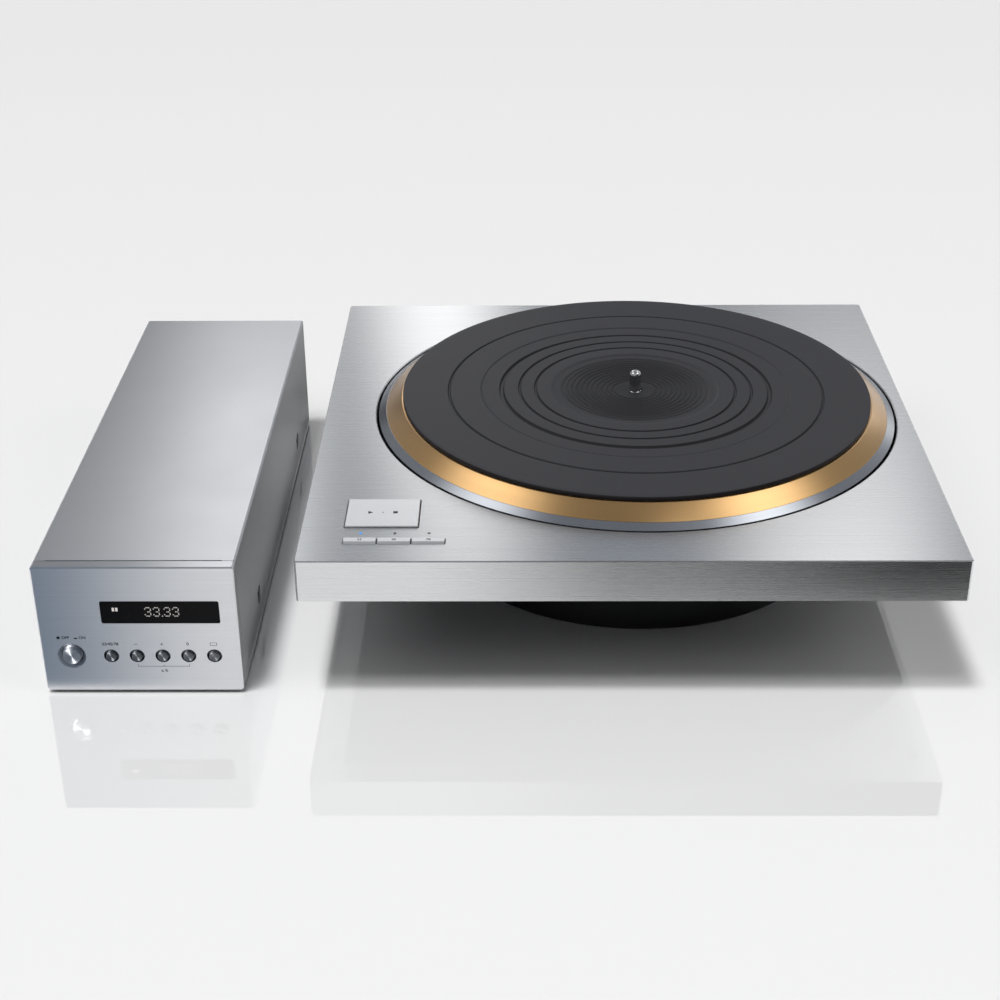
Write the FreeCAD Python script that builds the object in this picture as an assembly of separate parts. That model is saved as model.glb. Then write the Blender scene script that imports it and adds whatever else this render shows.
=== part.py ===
import FreeCAD, Part
import math
import os

os.makedirs("parts", exist_ok=True)

# A direct-drive turntable in two boxes: a square deck that stands on its round motor housing,
# and a long narrow control unit on its left. Millimetres, +Z up. The origin is on the platter's
# axis, on the surface that both boxes stand on. +X is to the right and +Y to the back.

# Deck
deck_width = 365.0
deck_depth = 365.0
deck_thickness = 25.0
deck_top = 86.0
spindle_right_of_centre = 11.8
spindle_behind_centre = 12.4
corner_chamfer = 1.2
edge_chamfer = 0.6
well_radius = 163.1

# Threaded holes in the deck's underside, for feet or a plinth
mount_hole_radius = 2.5
mount_hole_depth = 16.0
mount_half_x = 169.5
mount_half_y = 157.5
side_hole_radius = 1.65
side_hole_depth = 10.0
side_hole_half_y = 105.6

# Chassis plate under the deck
chassis_thickness = 5.0
chassis_inset_wide = 18.9
chassis_inset_narrow = 4.0
chassis_gap = 0.3
chassis_front_arc = 161.5
chassis_front_arc_share = 0.876
chassis_back_arc = 64.0
chassis_hole_radius = 40.0
chassis_screw_radius = 2.0
chassis_screw_head = 4.0
chassis_screw_length = 14.0
chassis_screw_places = [(-169.5, -40.0), (-169.5, 60.0), (-100.0, -168.0), (0.0, -169.5),
                        (95.0, -150.0), (140.0, -105.0), (125.0, 125.0), (-130.0, 130.0)]

# Keys on the deck
key_proud = 1.0
key_travel_room = 1.4
key_gap = 0.6
start_width = 40.9
start_depth = 31.8
start_from_left = 24.3
start_from_front = 37.4
start_height = 4.0
start_corner = 0.5
start_pocket_corner = 0.8
start_bevel = 0.35
start_stem_radius = 3.0
speed_names = ("33", "45", "78")
speed_key_width = 17.9
speed_key_pitch = 18.9
speed_keys_from_left = 24.9
speed_key_back = 24.5
speed_key_flat = 4.2
speed_key_slope = 1.2
speed_key_height = 3.0
speed_key_gap = 0.4
speed_stem_half = 1.5
speed_stem_inset = 2.0
speed_stem_side_gap = 0.5
lamp_from_front = 31.0
lamp_radius = 0.9
lamp_proud = 0.1
lamp_foot_radius = 1.6
lamp_foot_height = 2.5

# Room, board and switches under the keys
key_room_top = 79.6
room_margin_left = 4.0
room_margin_right = 4.5
room_margin_start = 3.2
room_margin_front = 1.4
room_margin_lamps = 4.0
room_margin_back = 3.6
key_board_bottom = 68.0
key_board_margin = 1.0
board_thickness = 1.6
key_switch_height = 3.0
key_switch_half = 3.0
key_switch_offset = 1.2
stem_clearance = 1.0
boss_radius = 3.0
boss_inset = 3.5
boss_hole_depth = 7.0
boss_screw_radius = 1.25
boss_screw_head = 2.3
boss_screw_head_height = 1.5
boss_screw_length = 7.5

# Platter, brass plate and screws
platter_radius = 161.5
platter_rim_inner = 140.0
platter_rim_bottom = 69.5
platter_rim_bevel = 0.8
platter_edge_top = 85.75
platter_web = 8.0
platter_bore_radius = 8.1
brass_bottom = 88.6
brass_top = 96.0
brass_foot_radius = 156.9
brass_top_radius = 147.0
brass_hole_clearance = 0.3
weight_count = 12
weight_radius = 7.0
weight_circle = 150.5
weight_cover = 3.6
weight_recess = 1.5
damping_inner = 60.0
damping_gap = 2.0
damping_thickness = 2.5
platter_screw_count = 3
platter_screw_circle = 26.0
platter_screw_radius = 2.0
platter_screw_head = 4.0
platter_screw_length = 20.0
counterbore_radius = 4.2
counterbore_depth = 5.0

# Mat, from the rim inwards: a land with a groove, a shallow trough, two grooves, a step down to
# the label area, and fine ripples on a dish that falls towards the spindle
mat_radius = 146.0
mat_thickness = 2.9
mat_edge = 0.6
mat_hole_radius = 3.8
mat_groove_radii = (117.0, 72.7, 62.7)
mat_groove_half = 0.9
mat_groove_depth = 0.8
trough_outer = 97.0
trough_inner = 84.0
trough_slope = 0.8
trough_depth = 0.6
label_edge = 53.0
label_slope = 2.5
label_depth = 0.7
ripple_outer = 47.0
ripple_count = 11
ripple_pitch = 3.15
ripple_height = 0.45
dish_depth = 1.8

# Spindle, bearing and rotor
spindle_radius = 3.58
spindle_root_radius = 3.75
spindle_root_bottom = 80.0
spindle_top = 110.5
spindle_tip_flat = 0.9
journal_radius = 6.0
journal_bevel = 1.0
journal_top = 64.6
bearing_play = 0.05
thrust_gap = 0.1
shaft_collar_radius = 8.0
shaft_collar_top = 87.6
hub_bottom = 20.0
hub_flange_bottom = 66.6
hub_flange_top = 76.6
hub_flange_radius = 34.0
hub_tube_radius = 24.0
hub_bell_radius = 18.0
hub_recess_clearance = 1.0
hub_thread_depth = 9.0
yoke_radius = 90.0
yoke_thickness = 4.0
magnet_inner = 52.0
magnet_outer = 86.0
magnet_thickness = 5.0
magnet_count = 16
magnet_gap_angle = 1.2
upper_yoke_bottom = 43.0
encoder_radius = 97.0
encoder_thickness = 1.5
encoder_slot_count = 60
encoder_slot_inner = 93.8
encoder_slot_outer = 95.8
encoder_slot_half = 0.9
sensor_inner = 92.8
sensor_outer = 106.0
sensor_half_width = 6.0
sensor_top = 25.5
sensor_slot_end = 99.4
sensor_slot_low = 17.3
sensor_slot_high = 21.2
sensor_angle = 210.0

# Bearing housing
bearing_sleeve_radius = 14.0
bearing_bottom = 4.6
bearing_bore = 8.2
bearing_bore_floor = 10.0
bearing_flange_radius = 40.0
bearing_flange_top = 14.0
bearing_top = 62.0
bearing_screw_count = 4
bearing_screw_circle = 32.0
bearing_screw_start = 45.0
bearing_screw_radius = 1.6
bearing_screw_head = 3.0
bearing_screw_head_height = 2.4
bearing_screw_length = 9.0
thrust_top = 13.0
low_bush = (14.0, 28.0)
high_bush = (46.0, 62.0)

# Stator
stator_bottom = 32.7
stator_inner = 28.0
stator_outer = 109.0
coil_count = 9
coil_inner = 50.0
coil_outer = 88.0
coil_height = 2.5
coil_gap_angle = 4.0
coil_eye_inner = 60.0
coil_eye_outer = 80.0
coil_eye_margin = 12.0
post_count = 6
post_circle = 104.0
post_radius = 3.5
post_pin_radius = 1.5
post_pin_above = 2.0

# Motor housing
housing_radius = 128.0
housing_wall = 6.0
housing_bevel = 0.8
housing_foot_inner = 118.0
housing_floor_bottom = 4.0
housing_floor_top = 9.0
housing_centre_gap = 0.4
housing_flange_inner = 108.0
housing_flange_thickness = 5.0
housing_screw_count = 6
housing_screw_circle = 115.0
housing_screw_start = 15.0
housing_screw_radius = 2.0
housing_screw_head = 3.4
housing_screw_head_height = 3.2
housing_screw_length = 9.5
cover_thickness = 2.5
cover_bevel = 0.5
base_cover_radius = 117.4
base_screw_count = 6
base_screw_circle = 111.0
base_screw_radius = 1.5
base_screw_head = 3.0
base_screw_length = 6.5
base_thread_top = 8.0

# Round sockets: the deck's and the control unit's
socket_radius = 10.0
socket_bore = 7.8
socket_flange = 13.0
socket_floor_thickness = 2.0
socket_pin_count = 7
socket_pin_radius = 0.55
socket_pin_circle = 4.4
socket_pin_start = -30.0
socket_pin_step = 40.0
socket_pin_length = 4.0
deck_socket_height = 30.0
deck_socket_flat = 127.0
deck_socket_depth = 10.0
deck_socket_out = 6.0
deck_socket_flange = 3.0
deck_socket_room = 1.0
deck_socket_cut_from = 110.0
drive_socket_depth = 12.0
drive_socket_out = 3.0
drive_socket_flange = 2.0

# Control unit
unit_gap = 33.0
unit_width = 110.6
unit_depth = 346.6
unit_behind_deck_front = 1.4
unit_bottom = 1.6
unit_top = 81.6
top_edge_bevel = 1.0
front_thickness = 7.0
front_low_corner = 2.2
front_bevel = 0.7
cover_sheet = 2.2
lip_inset = 7.0
lip_length = 0.5
lip_depth = 1.0
tray_bottom = 2.6
tray_sheet = 2.0
tray_side_height = 34.0
panel_gap = 0.4
side_screw_depths = (74.1, 277.8)
side_screw_height = 19.6
side_screw_head = 4.9
side_screw_head_gap = 0.85
side_screw_head_height = 1.7
side_screw_radius = 2.0
side_screw_length = 7.0
foot_radius = 8.0
foot_bevel = 0.5
foot_inset_x = 15.0
foot_inset_y = 24.0

# Display window
window_left = 35.5
window_width = 65.5
window_bottom = 44.4
window_height = 14.3
window_corner = 1.2
glass_inset = 0.4
glass_thickness = 2.0
module_front = 8.5
module_thickness = 4.0
module_side_margin = 1.0
module_height_margin = 1.5

# Buttons on the control unit
button_line = 23.2
power_from_left = 16.5
power_radius = 5.6
power_hole_radius = 6.1
power_ring_radius = 7.9
power_ring_depth = 2.2
power_proud = 1.2
power_rounding = 0.9
power_cap_end = 9.0
power_stem_radius = 3.0
power_stem_gap = 1.5
power_switch_start = 23.0
power_switch_length = 26.0
power_switch_half_width = 7.0
power_switch_half_height = 8.0
button_names = ("button_speed", "button_minus", "button_plus", "button_reset", "button_display")
first_button = 38.6
button_pitch = 14.33
button_radius = 3.5
button_hole_radius = 4.2
button_proud = 1.2
button_rounding = 0.7
button_flange_gap = 0.7
button_flange_radius = 4.8
button_flange_thickness = 1.2
button_stem_radius = 1.5
button_board_start = 14.5
button_board_left = 10.0
button_board_right = 8.0
button_board_half_height = 9.0
button_switch_half = 3.0
button_switch_depth = 3.4

# Rear of the control unit
rear_inset = 1.5
rear_thickness = 2.0
rear_side_gap = 0.2
inlet_from_left = 32.0
inlet_z = 36.0
inlet_half_width = 13.5
inlet_half_height = 10.0
inlet_depth = 20.0
inlet_flange_half_width = 16.5
inlet_flange_half_height = 13.0
inlet_flange_thickness = 2.0
inlet_flange_corner = 2.0
inlet_mouth_half_width = 11.8
inlet_mouth_half_height = 7.8
inlet_mouth_corner = 4.0
inlet_mouth_depth = 15.0
blade_places = ((-7.0, -1.5), (7.0, -1.5), (0.0, 2.5))
blade_half_width = 1.0
blade_half_height = 2.0
blade_length = 9.0
drive_from_left = 80.0

# Power supply inside the control unit
transformer_from_front = 250.0
transformer_radius = 36.0
transformer_height = 38.0
transformer_rounding = 8.0
transformer_hole = 10.0
power_board_start = 50.0
power_board_end = 195.0
power_board_side_gap = 12.0
power_board_raise = 8.0
standoff_radius = 3.0
standoff_inset = 5.0
can_count = 4
can_radius = 9.0
can_height = 26.0
can_first = 13.0
can_pitch = 20.0
can_from_back = 16.0
heatsink_inset = 6.0
heatsink_start = 20.0
heatsink_thickness = 6.0
heatsink_height = 34.0

# How far a cutting tool runs past a face, and how close two heights or places count as one
past = 1.0
close = 1e-6
edge_reach = 0.1

# Places worked out from the sizes above
deck_left = -deck_width / 2 - spindle_right_of_centre
deck_right = deck_left + deck_width
deck_front = -deck_depth / 2 - spindle_behind_centre
deck_back = deck_front + deck_depth
deck_bottom = deck_top - deck_thickness
chassis_top = deck_bottom + chassis_thickness
mat_top = brass_top + mat_thickness
web_bottom = brass_bottom - platter_web
weight_top = brass_bottom - weight_cover
screw_seat = brass_top - counterbore_depth
lower_yoke_top = hub_bottom + yoke_thickness
board_top = stator_bottom + board_thickness
housing_inner = housing_radius - housing_wall
housing_seat = deck_bottom - housing_flange_thickness
cover_bottom = housing_floor_bottom - cover_thickness

start_left = deck_left + start_from_left
start_right = start_left + start_width
start_front = deck_front + start_from_front
start_back = start_front + start_depth
start_x = (start_left + start_right) / 2
start_y = (start_front + start_back) / 2
key_top = deck_top + key_proud
start_bottom = key_top - start_height
start_floor = start_bottom - key_travel_room
speed_lefts = [deck_left + speed_keys_from_left + speed_key_pitch * index for index in range(3)]
speed_centres = [left + speed_key_width / 2 for left in speed_lefts]
speed_right = speed_lefts[-1] + speed_key_width
speed_back = deck_front + speed_key_back
speed_flat_end = speed_back - speed_key_flat
speed_front = speed_flat_end - speed_key_slope
speed_bottom = key_top - speed_key_height
speed_floor = speed_bottom - key_travel_room
stem_y = speed_back - speed_stem_inset
lamp_y = deck_front + lamp_from_front

room_left = start_left - room_margin_left
room_right = speed_right + room_margin_right
room_front = speed_front + room_margin_front
room_middle = lamp_y + room_margin_lamps
room_back = start_back + room_margin_back
start_room_right = start_right + room_margin_start
key_board_top = key_board_bottom + board_thickness
key_switch_top = key_board_top + key_switch_height
stem_bottom = key_switch_top + stem_clearance
boss_places = [(room_left + boss_inset, room_back - boss_inset),
               (start_room_right - boss_inset, room_back - boss_inset),
               (room_right - boss_inset, lamp_y), (room_left + boss_inset, lamp_y)]

unit_right = deck_left - unit_gap
unit_left = unit_right - unit_width
unit_front = deck_front + unit_behind_deck_front
unit_back = unit_front + unit_depth
front_back = unit_front + front_thickness
cover_front = front_back + panel_gap
rear_panel_back = unit_back - rear_inset
rear_panel_front = rear_panel_back - rear_thickness
inner_left = unit_left + cover_sheet
inner_right = unit_right - cover_sheet
tray_floor = tray_bottom + tray_sheet
button_xs = [unit_left + first_button + button_pitch * index for index in range(5)]
button_z = unit_bottom + button_line
button_board_front = unit_front + button_board_start
button_flange_front = front_back + button_flange_gap
power_x = unit_left + power_from_left
power_switch_front = unit_front + power_switch_start
window_low_x = unit_left + window_left
window_low_z = unit_bottom + window_bottom
inlet_x = unit_left + inlet_from_left
drive_x = unit_left + drive_from_left

origin = FreeCAD.Vector(0, 0, 0)
along_x = FreeCAD.Vector(1, 0, 0)
along_y = FreeCAD.Vector(0, 1, 0)
along_z = FreeCAD.Vector(0, 0, 1)


def block(x_low, x_high, y_low, y_high, z_low, z_high):
    """A box between two corners."""
    corner = FreeCAD.Vector(x_low, y_low, z_low)
    return Part.makeBox(x_high - x_low, y_high - y_low, z_high - z_low, corner)


def upright(radius, z_low, z_high, x=0.0, y=0.0):
    """A cylinder along Z."""
    return Part.makeCylinder(radius, z_high - z_low, FreeCAD.Vector(x, y, z_low))


def lying(radius, y_low, y_high, x, z):
    """A cylinder along Y."""
    return Part.makeCylinder(radius, y_high - y_low, FreeCAD.Vector(x, y_low, z), along_y)


def crossing(radius, x_low, x_high, y, z):
    """A cylinder along X."""
    return Part.makeCylinder(radius, x_high - x_low, FreeCAD.Vector(x_low, y, z), along_x)


def turned(profile, sweep=360.0, start=0.0):
    """A solid of revolution about Z from a closed outline of (radius, height) points."""
    points = [FreeCAD.Vector(radius, 0, height) for radius, height in profile]
    points.append(points[0])
    solid = Part.Face(Part.makePolygon(points)).revolve(origin, along_z, sweep)
    solid.rotate(origin, along_z, start)
    return solid


def sector(inner, outer, z_low, z_high, sweep=360.0, start=0.0):
    """A flat ring about the platter's axis, or a piece of one."""
    profile = [(inner, z_low), (outer, z_low), (outer, z_high), (inner, z_high)]
    return turned(profile, sweep, start)


def extruded(points, run):
    """A prism from a closed outline of vectors, pushed along a vector."""
    return Part.Face(Part.makePolygon(points + [points[0]])).extrude(run)


def edges_along(shape, axis):
    """The straight edges that run along an axis."""
    chosen = []
    for edge in shape.Edges:
        run = edge.Vertexes[-1].Point - edge.Vertexes[0].Point
        if run.Length > 0 and run.cross(axis).Length < close * run.Length:
            chosen.append(edge)
    return chosen


def edges_at_height(shape, z):
    """The edges that lie in a level plane."""
    return [edge for edge in shape.Edges
            if abs(edge.BoundBox.ZMin - z) < edge_reach and abs(edge.BoundBox.ZMax - z) < edge_reach]


def edges_at_depth(shape, y):
    """The edges that lie in a plane across Y."""
    return [edge for edge in shape.Edges
            if abs(edge.BoundBox.YMin - y) < edge_reach and abs(edge.BoundBox.YMax - y) < edge_reach]


def circle_places(count, radius, start=0.0):
    """Evenly spaced (x, y) points on a circle about the platter's axis."""
    angles = [math.radians(start + 360.0 * index / count) for index in range(count)]
    return [(radius * math.cos(angle), radius * math.sin(angle)) for angle in angles]


def countersunk(x, y, z_head, head_radius, shank_radius, length):
    """A flat-headed screw driven upwards, its head's face at z_head."""
    head_height = head_radius - shank_radius
    head = Part.makeCone(head_radius, shank_radius, head_height, FreeCAD.Vector(x, y, z_head))
    shank = upright(shank_radius, z_head + head_height, z_head + length, x, y)
    return head.fuse(shank).removeSplitter()


def pan_screw(x, y, z_seat, head_radius, head_height, shank_radius, length, upwards=True):
    """A round-headed screw whose head sits against z_seat."""
    way = 1.0 if upwards else -1.0
    low, high = sorted((z_seat - way * head_height, z_seat))
    head = upright(head_radius, low, high, x, y)
    low, high = sorted((z_seat, z_seat + way * length))
    shank = upright(shank_radius, low, high, x, y)
    return head.fuse(shank).removeSplitter()


def keep(node, shape):
    """Write one sub-part and print its size. A list of solids shares one node."""
    if isinstance(shape, list):
        shape = Part.makeCompound(shape)
    shape.exportStep("parts/%s.step" % node)
    box = shape.BoundBox
    print("%-22s %2d solid(s) %10.1f mm3  z %.1f to %.1f"
          % (node, len(shape.Solids), shape.Volume, box.ZMin, box.ZMax))


platter_screw_places = circle_places(platter_screw_count, platter_screw_circle)
weight_places = circle_places(weight_count, weight_circle)
post_places = circle_places(post_count, post_circle)
housing_screw_places = circle_places(housing_screw_count, housing_screw_circle, housing_screw_start)
base_screw_places = circle_places(base_screw_count, base_screw_circle)
bearing_screw_places = circle_places(bearing_screw_count, bearing_screw_circle, bearing_screw_start)


# Deck
def chassis_face(gap, z):
    """The chassis plate's outline, grown by a gap: inset widely on the left and front, narrowly
    on the right and back, with a large arc at the front right corner and a smaller one behind."""
    left = deck_left + chassis_inset_wide - gap
    front = deck_front + chassis_inset_wide - gap
    right = deck_right - chassis_inset_narrow + gap
    back = deck_back - chassis_inset_narrow + gap
    front_arc = chassis_front_arc + gap
    arc_x = right - chassis_front_arc_share * front_arc
    arc_y = front + front_arc
    down = math.pi / 2
    lean = math.acos(chassis_front_arc_share)
    back_arc = chassis_back_arc + gap
    back_x = right - back_arc
    back_y = back - back_arc

    def at(x, y):
        return FreeCAD.Vector(x, y, z)

    def on_front_arc(angle):
        return at(arc_x + front_arc * math.cos(angle), arc_y - front_arc * math.sin(angle))

    def on_back_arc(angle):
        return at(back_x + back_arc * math.cos(angle), back_y + back_arc * math.sin(angle))

    edges = [
        Part.LineSegment(at(left, front), on_front_arc(down)).toShape(),
        Part.Arc(on_front_arc(down), on_front_arc((lean + down) / 2), on_front_arc(lean)).toShape(),
        Part.LineSegment(on_front_arc(lean), at(right, back_y)).toShape(),
        Part.Arc(at(right, back_y), on_back_arc(down / 2), at(back_x, back)).toShape(),
        Part.LineSegment(at(back_x, back), at(left, back)).toShape(),
        Part.LineSegment(at(left, back), at(left, front)).toShape(),
    ]
    return Part.Face(Part.Wire(edges))


def make_top_panel():
    """The solid slab: well, pockets for the keys, a recess for the chassis plate, threaded holes."""
    slab = block(deck_left, deck_right, deck_front, deck_back, deck_bottom, deck_top)
    slab = slab.makeChamfer(corner_chamfer, edges_along(slab, along_z))
    slab = slab.makeChamfer(edge_chamfer, edges_at_height(slab, deck_top))
    well = turned([(0, deck_bottom - past), (well_radius, deck_bottom - past),
                   (well_radius, deck_top - edge_chamfer), (well_radius + edge_chamfer, deck_top),
                   (well_radius + edge_chamfer, deck_top + past), (0, deck_top + past)])
    recess = chassis_face(chassis_gap, deck_bottom - past)
    recess = recess.extrude(along_z * (chassis_thickness + past))
    start_pocket = block(start_left - key_gap, start_right + key_gap, start_front - key_gap,
                         start_back + key_gap, start_floor, deck_top + past)
    start_pocket = start_pocket.makeFillet(start_pocket_corner, edges_along(start_pocket, along_z))
    speed_pocket = block(speed_lefts[0] - key_gap, speed_right + key_gap,
                         speed_front - speed_key_gap, speed_back + speed_key_gap,
                         speed_floor, deck_top + past)
    room = block(room_left, start_room_right, room_front, room_back, chassis_top - past, key_room_top)
    room = room.fuse(block(room_left, room_right, room_front, room_middle, chassis_top - past,
                           key_room_top)).removeSplitter()
    tools = [well, recess, start_pocket, speed_pocket, room]
    tools.append(upright(start_stem_radius + key_gap, key_room_top - past, start_floor + past,
                         start_x, start_y))
    for x in speed_centres:
        half_x = speed_stem_half + speed_stem_side_gap
        half_y = speed_stem_half + speed_key_gap
        tools.append(block(x - half_x, x + half_x, stem_y - half_y, stem_y + half_y,
                           key_room_top - past, speed_floor + past))
        tools.append(upright(lamp_radius, key_room_top - past, deck_top + past, x, lamp_y))
    for x, y in chassis_screw_places:
        tools.append(upright(chassis_screw_radius, chassis_top - past,
                             deck_bottom + chassis_screw_length, x, y))
    for side in (-1, 1):
        x = -spindle_right_of_centre + side * mount_half_x
        for y in (-mount_half_y, mount_half_y):
            tools.append(upright(mount_hole_radius, deck_bottom - past,
                                 deck_bottom + mount_hole_depth, x, y - spindle_behind_centre))
        tools.append(upright(side_hole_radius, deck_bottom - past, deck_bottom + side_hole_depth,
                             x, -side_hole_half_y - spindle_behind_centre))
    bosses = []
    for x, y in boss_places:
        boss = upright(boss_radius, key_board_top, key_room_top + past, x, y)
        bosses.append(boss.cut(upright(boss_screw_radius, key_board_top - past,
                                       key_board_top + boss_hole_depth, x, y)))
    return slab.cut(tools).fuse(bosses).removeSplitter()


def make_chassis_screws():
    return [countersunk(x, y, deck_bottom, chassis_screw_head, chassis_screw_radius,
                        chassis_screw_length) for x, y in chassis_screw_places]


def make_lower_chassis():
    """The black plate let into the underside: a centre hole, screw seats, threads for the can."""
    plate = chassis_face(0.0, deck_bottom).extrude(along_z * chassis_thickness)
    tools = make_chassis_screws()
    tools.append(upright(chassis_hole_radius, deck_bottom - past, chassis_top + past))
    for x, y in housing_screw_places:
        tools.append(upright(housing_screw_radius, deck_bottom - past, chassis_top + past, x, y))
    return plate.cut(tools)


def make_start_stop_key():
    """The wide key: a bevelled plate with a round stem."""
    plate = block(start_left, start_right, start_front, start_back, start_bottom, key_top)
    plate = plate.makeFillet(start_corner, edges_along(plate, along_z))
    plate = plate.makeChamfer(start_bevel, edges_at_height(plate, key_top))
    stem = upright(start_stem_radius, stem_bottom, start_bottom, start_x, start_y)
    return plate.fuse(stem).removeSplitter()


def make_speed_key(index):
    """A narrow key: a level strip at the back, a slope to the front and a square stem."""
    outline = [(speed_back, key_top), (speed_flat_end, key_top),
               (speed_front, key_top - speed_key_slope), (speed_front, speed_bottom),
               (speed_back, speed_bottom)]
    points = [FreeCAD.Vector(speed_lefts[index], y, z) for y, z in outline]
    body = extruded(points, along_x * speed_key_width)
    centre = speed_centres[index]
    stem = block(centre - speed_stem_half, centre + speed_stem_half, stem_y - speed_stem_half,
                 stem_y + speed_stem_half, stem_bottom, speed_bottom)
    return body.fuse(stem).removeSplitter()


def make_lamp(index):
    """A speed lamp: a thin light rod that ends in the deck's top, on a wider foot."""
    x = speed_centres[index]
    lens = upright(lamp_radius, key_room_top, deck_top + lamp_proud, x, lamp_y)
    foot = upright(lamp_foot_radius, key_room_top - lamp_foot_height, key_room_top, x, lamp_y)
    return lens.fuse(foot).removeSplitter()


def make_key_board():
    """The board under the keys, L-shaped like the room it lies in."""
    left = room_left + key_board_margin
    front = room_front + key_board_margin
    board = block(left, start_room_right - key_board_margin, front, room_back - key_board_margin,
                  key_board_bottom, key_board_top)
    board = board.fuse(block(left, room_right - key_board_margin, front,
                             room_middle - key_board_margin, key_board_bottom, key_board_top))
    return board.removeSplitter().cut([upright(boss_screw_radius, key_board_bottom - past,
                                               key_board_top + past, x, y)
                                       for x, y in boss_places])


def make_key_board_screws():
    return [pan_screw(x, y, key_board_bottom, boss_screw_head, boss_screw_head_height,
                      boss_screw_radius, boss_screw_length) for x, y in boss_places]


def make_key_switches():
    places = [(start_x, start_y)] + [(x, stem_y + key_switch_offset) for x in speed_centres]
    return [block(x - key_switch_half, x + key_switch_half, y - key_switch_half, y + key_switch_half,
                  key_board_top, key_switch_top) for x, y in places]


# Motor: the can, its bottom cover, the bearing and the stator
def make_socket(x, y_wall, z, depth, out, flange):
    """A round socket that faces +Y, with a ring of pins inside and its flange on a wall."""
    floor = y_wall - depth + socket_floor_thickness
    shell = lying(socket_radius, y_wall - depth, y_wall + out, x, z)
    shell = shell.fuse(lying(socket_flange, y_wall, y_wall + flange, x, z)).removeSplitter()
    shell = shell.cut(lying(socket_bore, floor, y_wall + out + past, x, z))
    pins = []
    for index in range(socket_pin_count):
        angle = math.radians(socket_pin_start + socket_pin_step * index)
        pins.append(lying(socket_pin_radius, floor - past, floor + socket_pin_length,
                          x + socket_pin_circle * math.cos(angle),
                          z + socket_pin_circle * math.sin(angle)))
    return shell.fuse(pins).removeSplitter()


def make_base_cover_screws():
    return [countersunk(x, y, cover_bottom, base_screw_head, base_screw_radius, base_screw_length)
            for x, y in base_screw_places]


def make_motor_housing():
    """The can: a floor with a foot ring below it, a wall, and a flange at the top."""
    can = turned([(bearing_sleeve_radius + housing_centre_gap, housing_floor_bottom),
                  (housing_foot_inner, housing_floor_bottom),
                  (housing_foot_inner, 0.0),
                  (housing_radius - housing_bevel, 0.0),
                  (housing_radius, housing_bevel),
                  (housing_radius, deck_bottom),
                  (housing_flange_inner, deck_bottom),
                  (housing_flange_inner, housing_seat),
                  (housing_inner, housing_seat),
                  (housing_inner, housing_floor_top),
                  (bearing_sleeve_radius + housing_centre_gap, housing_floor_top)])
    tools = [upright(housing_screw_radius, housing_seat - past, deck_bottom + past, x, y)
             for x, y in housing_screw_places]
    for x, y in base_screw_places:
        tools.append(upright(base_screw_radius, housing_floor_bottom - past, base_thread_top, x, y))
    for x, y in bearing_screw_places:
        tools.append(upright(bearing_screw_radius, bearing_flange_top - bearing_screw_length,
                             housing_floor_top + past, x, y))
    flat_half = socket_flange + deck_socket_room
    tools.append(block(-flat_half, flat_half, deck_socket_flat, housing_radius + past,
                       deck_socket_height - flat_half, deck_socket_height + flat_half))
    tools.append(lying(socket_radius, deck_socket_cut_from, housing_radius + past,
                       0.0, deck_socket_height))
    return can.cut(tools)


def make_motor_base_cover():
    plate = upright(base_cover_radius, cover_bottom, housing_floor_bottom)
    plate = plate.makeChamfer(cover_bevel, edges_at_height(plate, cover_bottom))
    return plate.cut(make_base_cover_screws())


def make_housing_screws():
    return [pan_screw(x, y, housing_seat, housing_screw_head, housing_screw_head_height,
                      housing_screw_radius, housing_screw_length) for x, y in housing_screw_places]


def make_bearing_housing():
    """A flanged sleeve, closed below, that stands in the middle of the can's floor."""
    body = turned([(0.0, bearing_bottom), (bearing_sleeve_radius, bearing_bottom),
                   (bearing_sleeve_radius, housing_floor_top),
                   (bearing_flange_radius, housing_floor_top),
                   (bearing_flange_radius, bearing_flange_top),
                   (bearing_sleeve_radius, bearing_flange_top),
                   (bearing_sleeve_radius, bearing_top),
                   (bearing_bore, bearing_top), (bearing_bore, bearing_bore_floor),
                   (0.0, bearing_bore_floor)])
    return body.cut([upright(bearing_screw_radius, housing_floor_top - past,
                             bearing_flange_top + past, x, y) for x, y in bearing_screw_places])


def make_bearing_bushes():
    inner = journal_radius + bearing_play
    return [sector(inner, bearing_bore, low, high) for low, high in (low_bush, high_bush)]


def make_bearing_screws():
    return [pan_screw(x, y, bearing_flange_top, bearing_screw_head, bearing_screw_head_height,
                      bearing_screw_radius, bearing_screw_length, upwards=False)
            for x, y in bearing_screw_places]


def make_stator_board():
    board = sector(stator_inner, stator_outer, stator_bottom, board_top)
    return board.cut([upright(post_pin_radius, stator_bottom - past, board_top + past, x, y)
                      for x, y in post_places])


def make_stator_coils():
    """Flat coils on both faces of the board, each a piece of a ring with an eye."""
    coils = []
    pitch = 360.0 / coil_count
    for low in (stator_bottom - coil_height, board_top):
        high = low + coil_height
        for index in range(coil_count):
            start = pitch * index
            outer = sector(coil_inner, coil_outer, low, high, pitch - coil_gap_angle, start)
            eye = sector(coil_eye_inner, coil_eye_outer, low - past, high + past,
                         pitch - coil_gap_angle - 2 * coil_eye_margin, start + coil_eye_margin)
            coils.append(outer.cut(eye))
    return coils


def make_stator_posts():
    posts = []
    for x, y in post_places:
        post = upright(post_radius, housing_floor_top, stator_bottom, x, y)
        pin = upright(post_pin_radius, stator_bottom, board_top + post_pin_above, x, y)
        posts.append(post.fuse(pin).removeSplitter())
    return posts


def make_encoder_sensor():
    """A forked sensor whose slot the disc's rim turns in."""
    body = block(sensor_inner, sensor_outer, -sensor_half_width, sensor_half_width,
                 housing_floor_top, sensor_top)
    body = body.cut(block(sensor_inner - past, sensor_slot_end, -sensor_half_width - past,
                          sensor_half_width + past, sensor_slot_low, sensor_slot_high))
    body.rotate(origin, along_z, sensor_angle)
    return body


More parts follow.
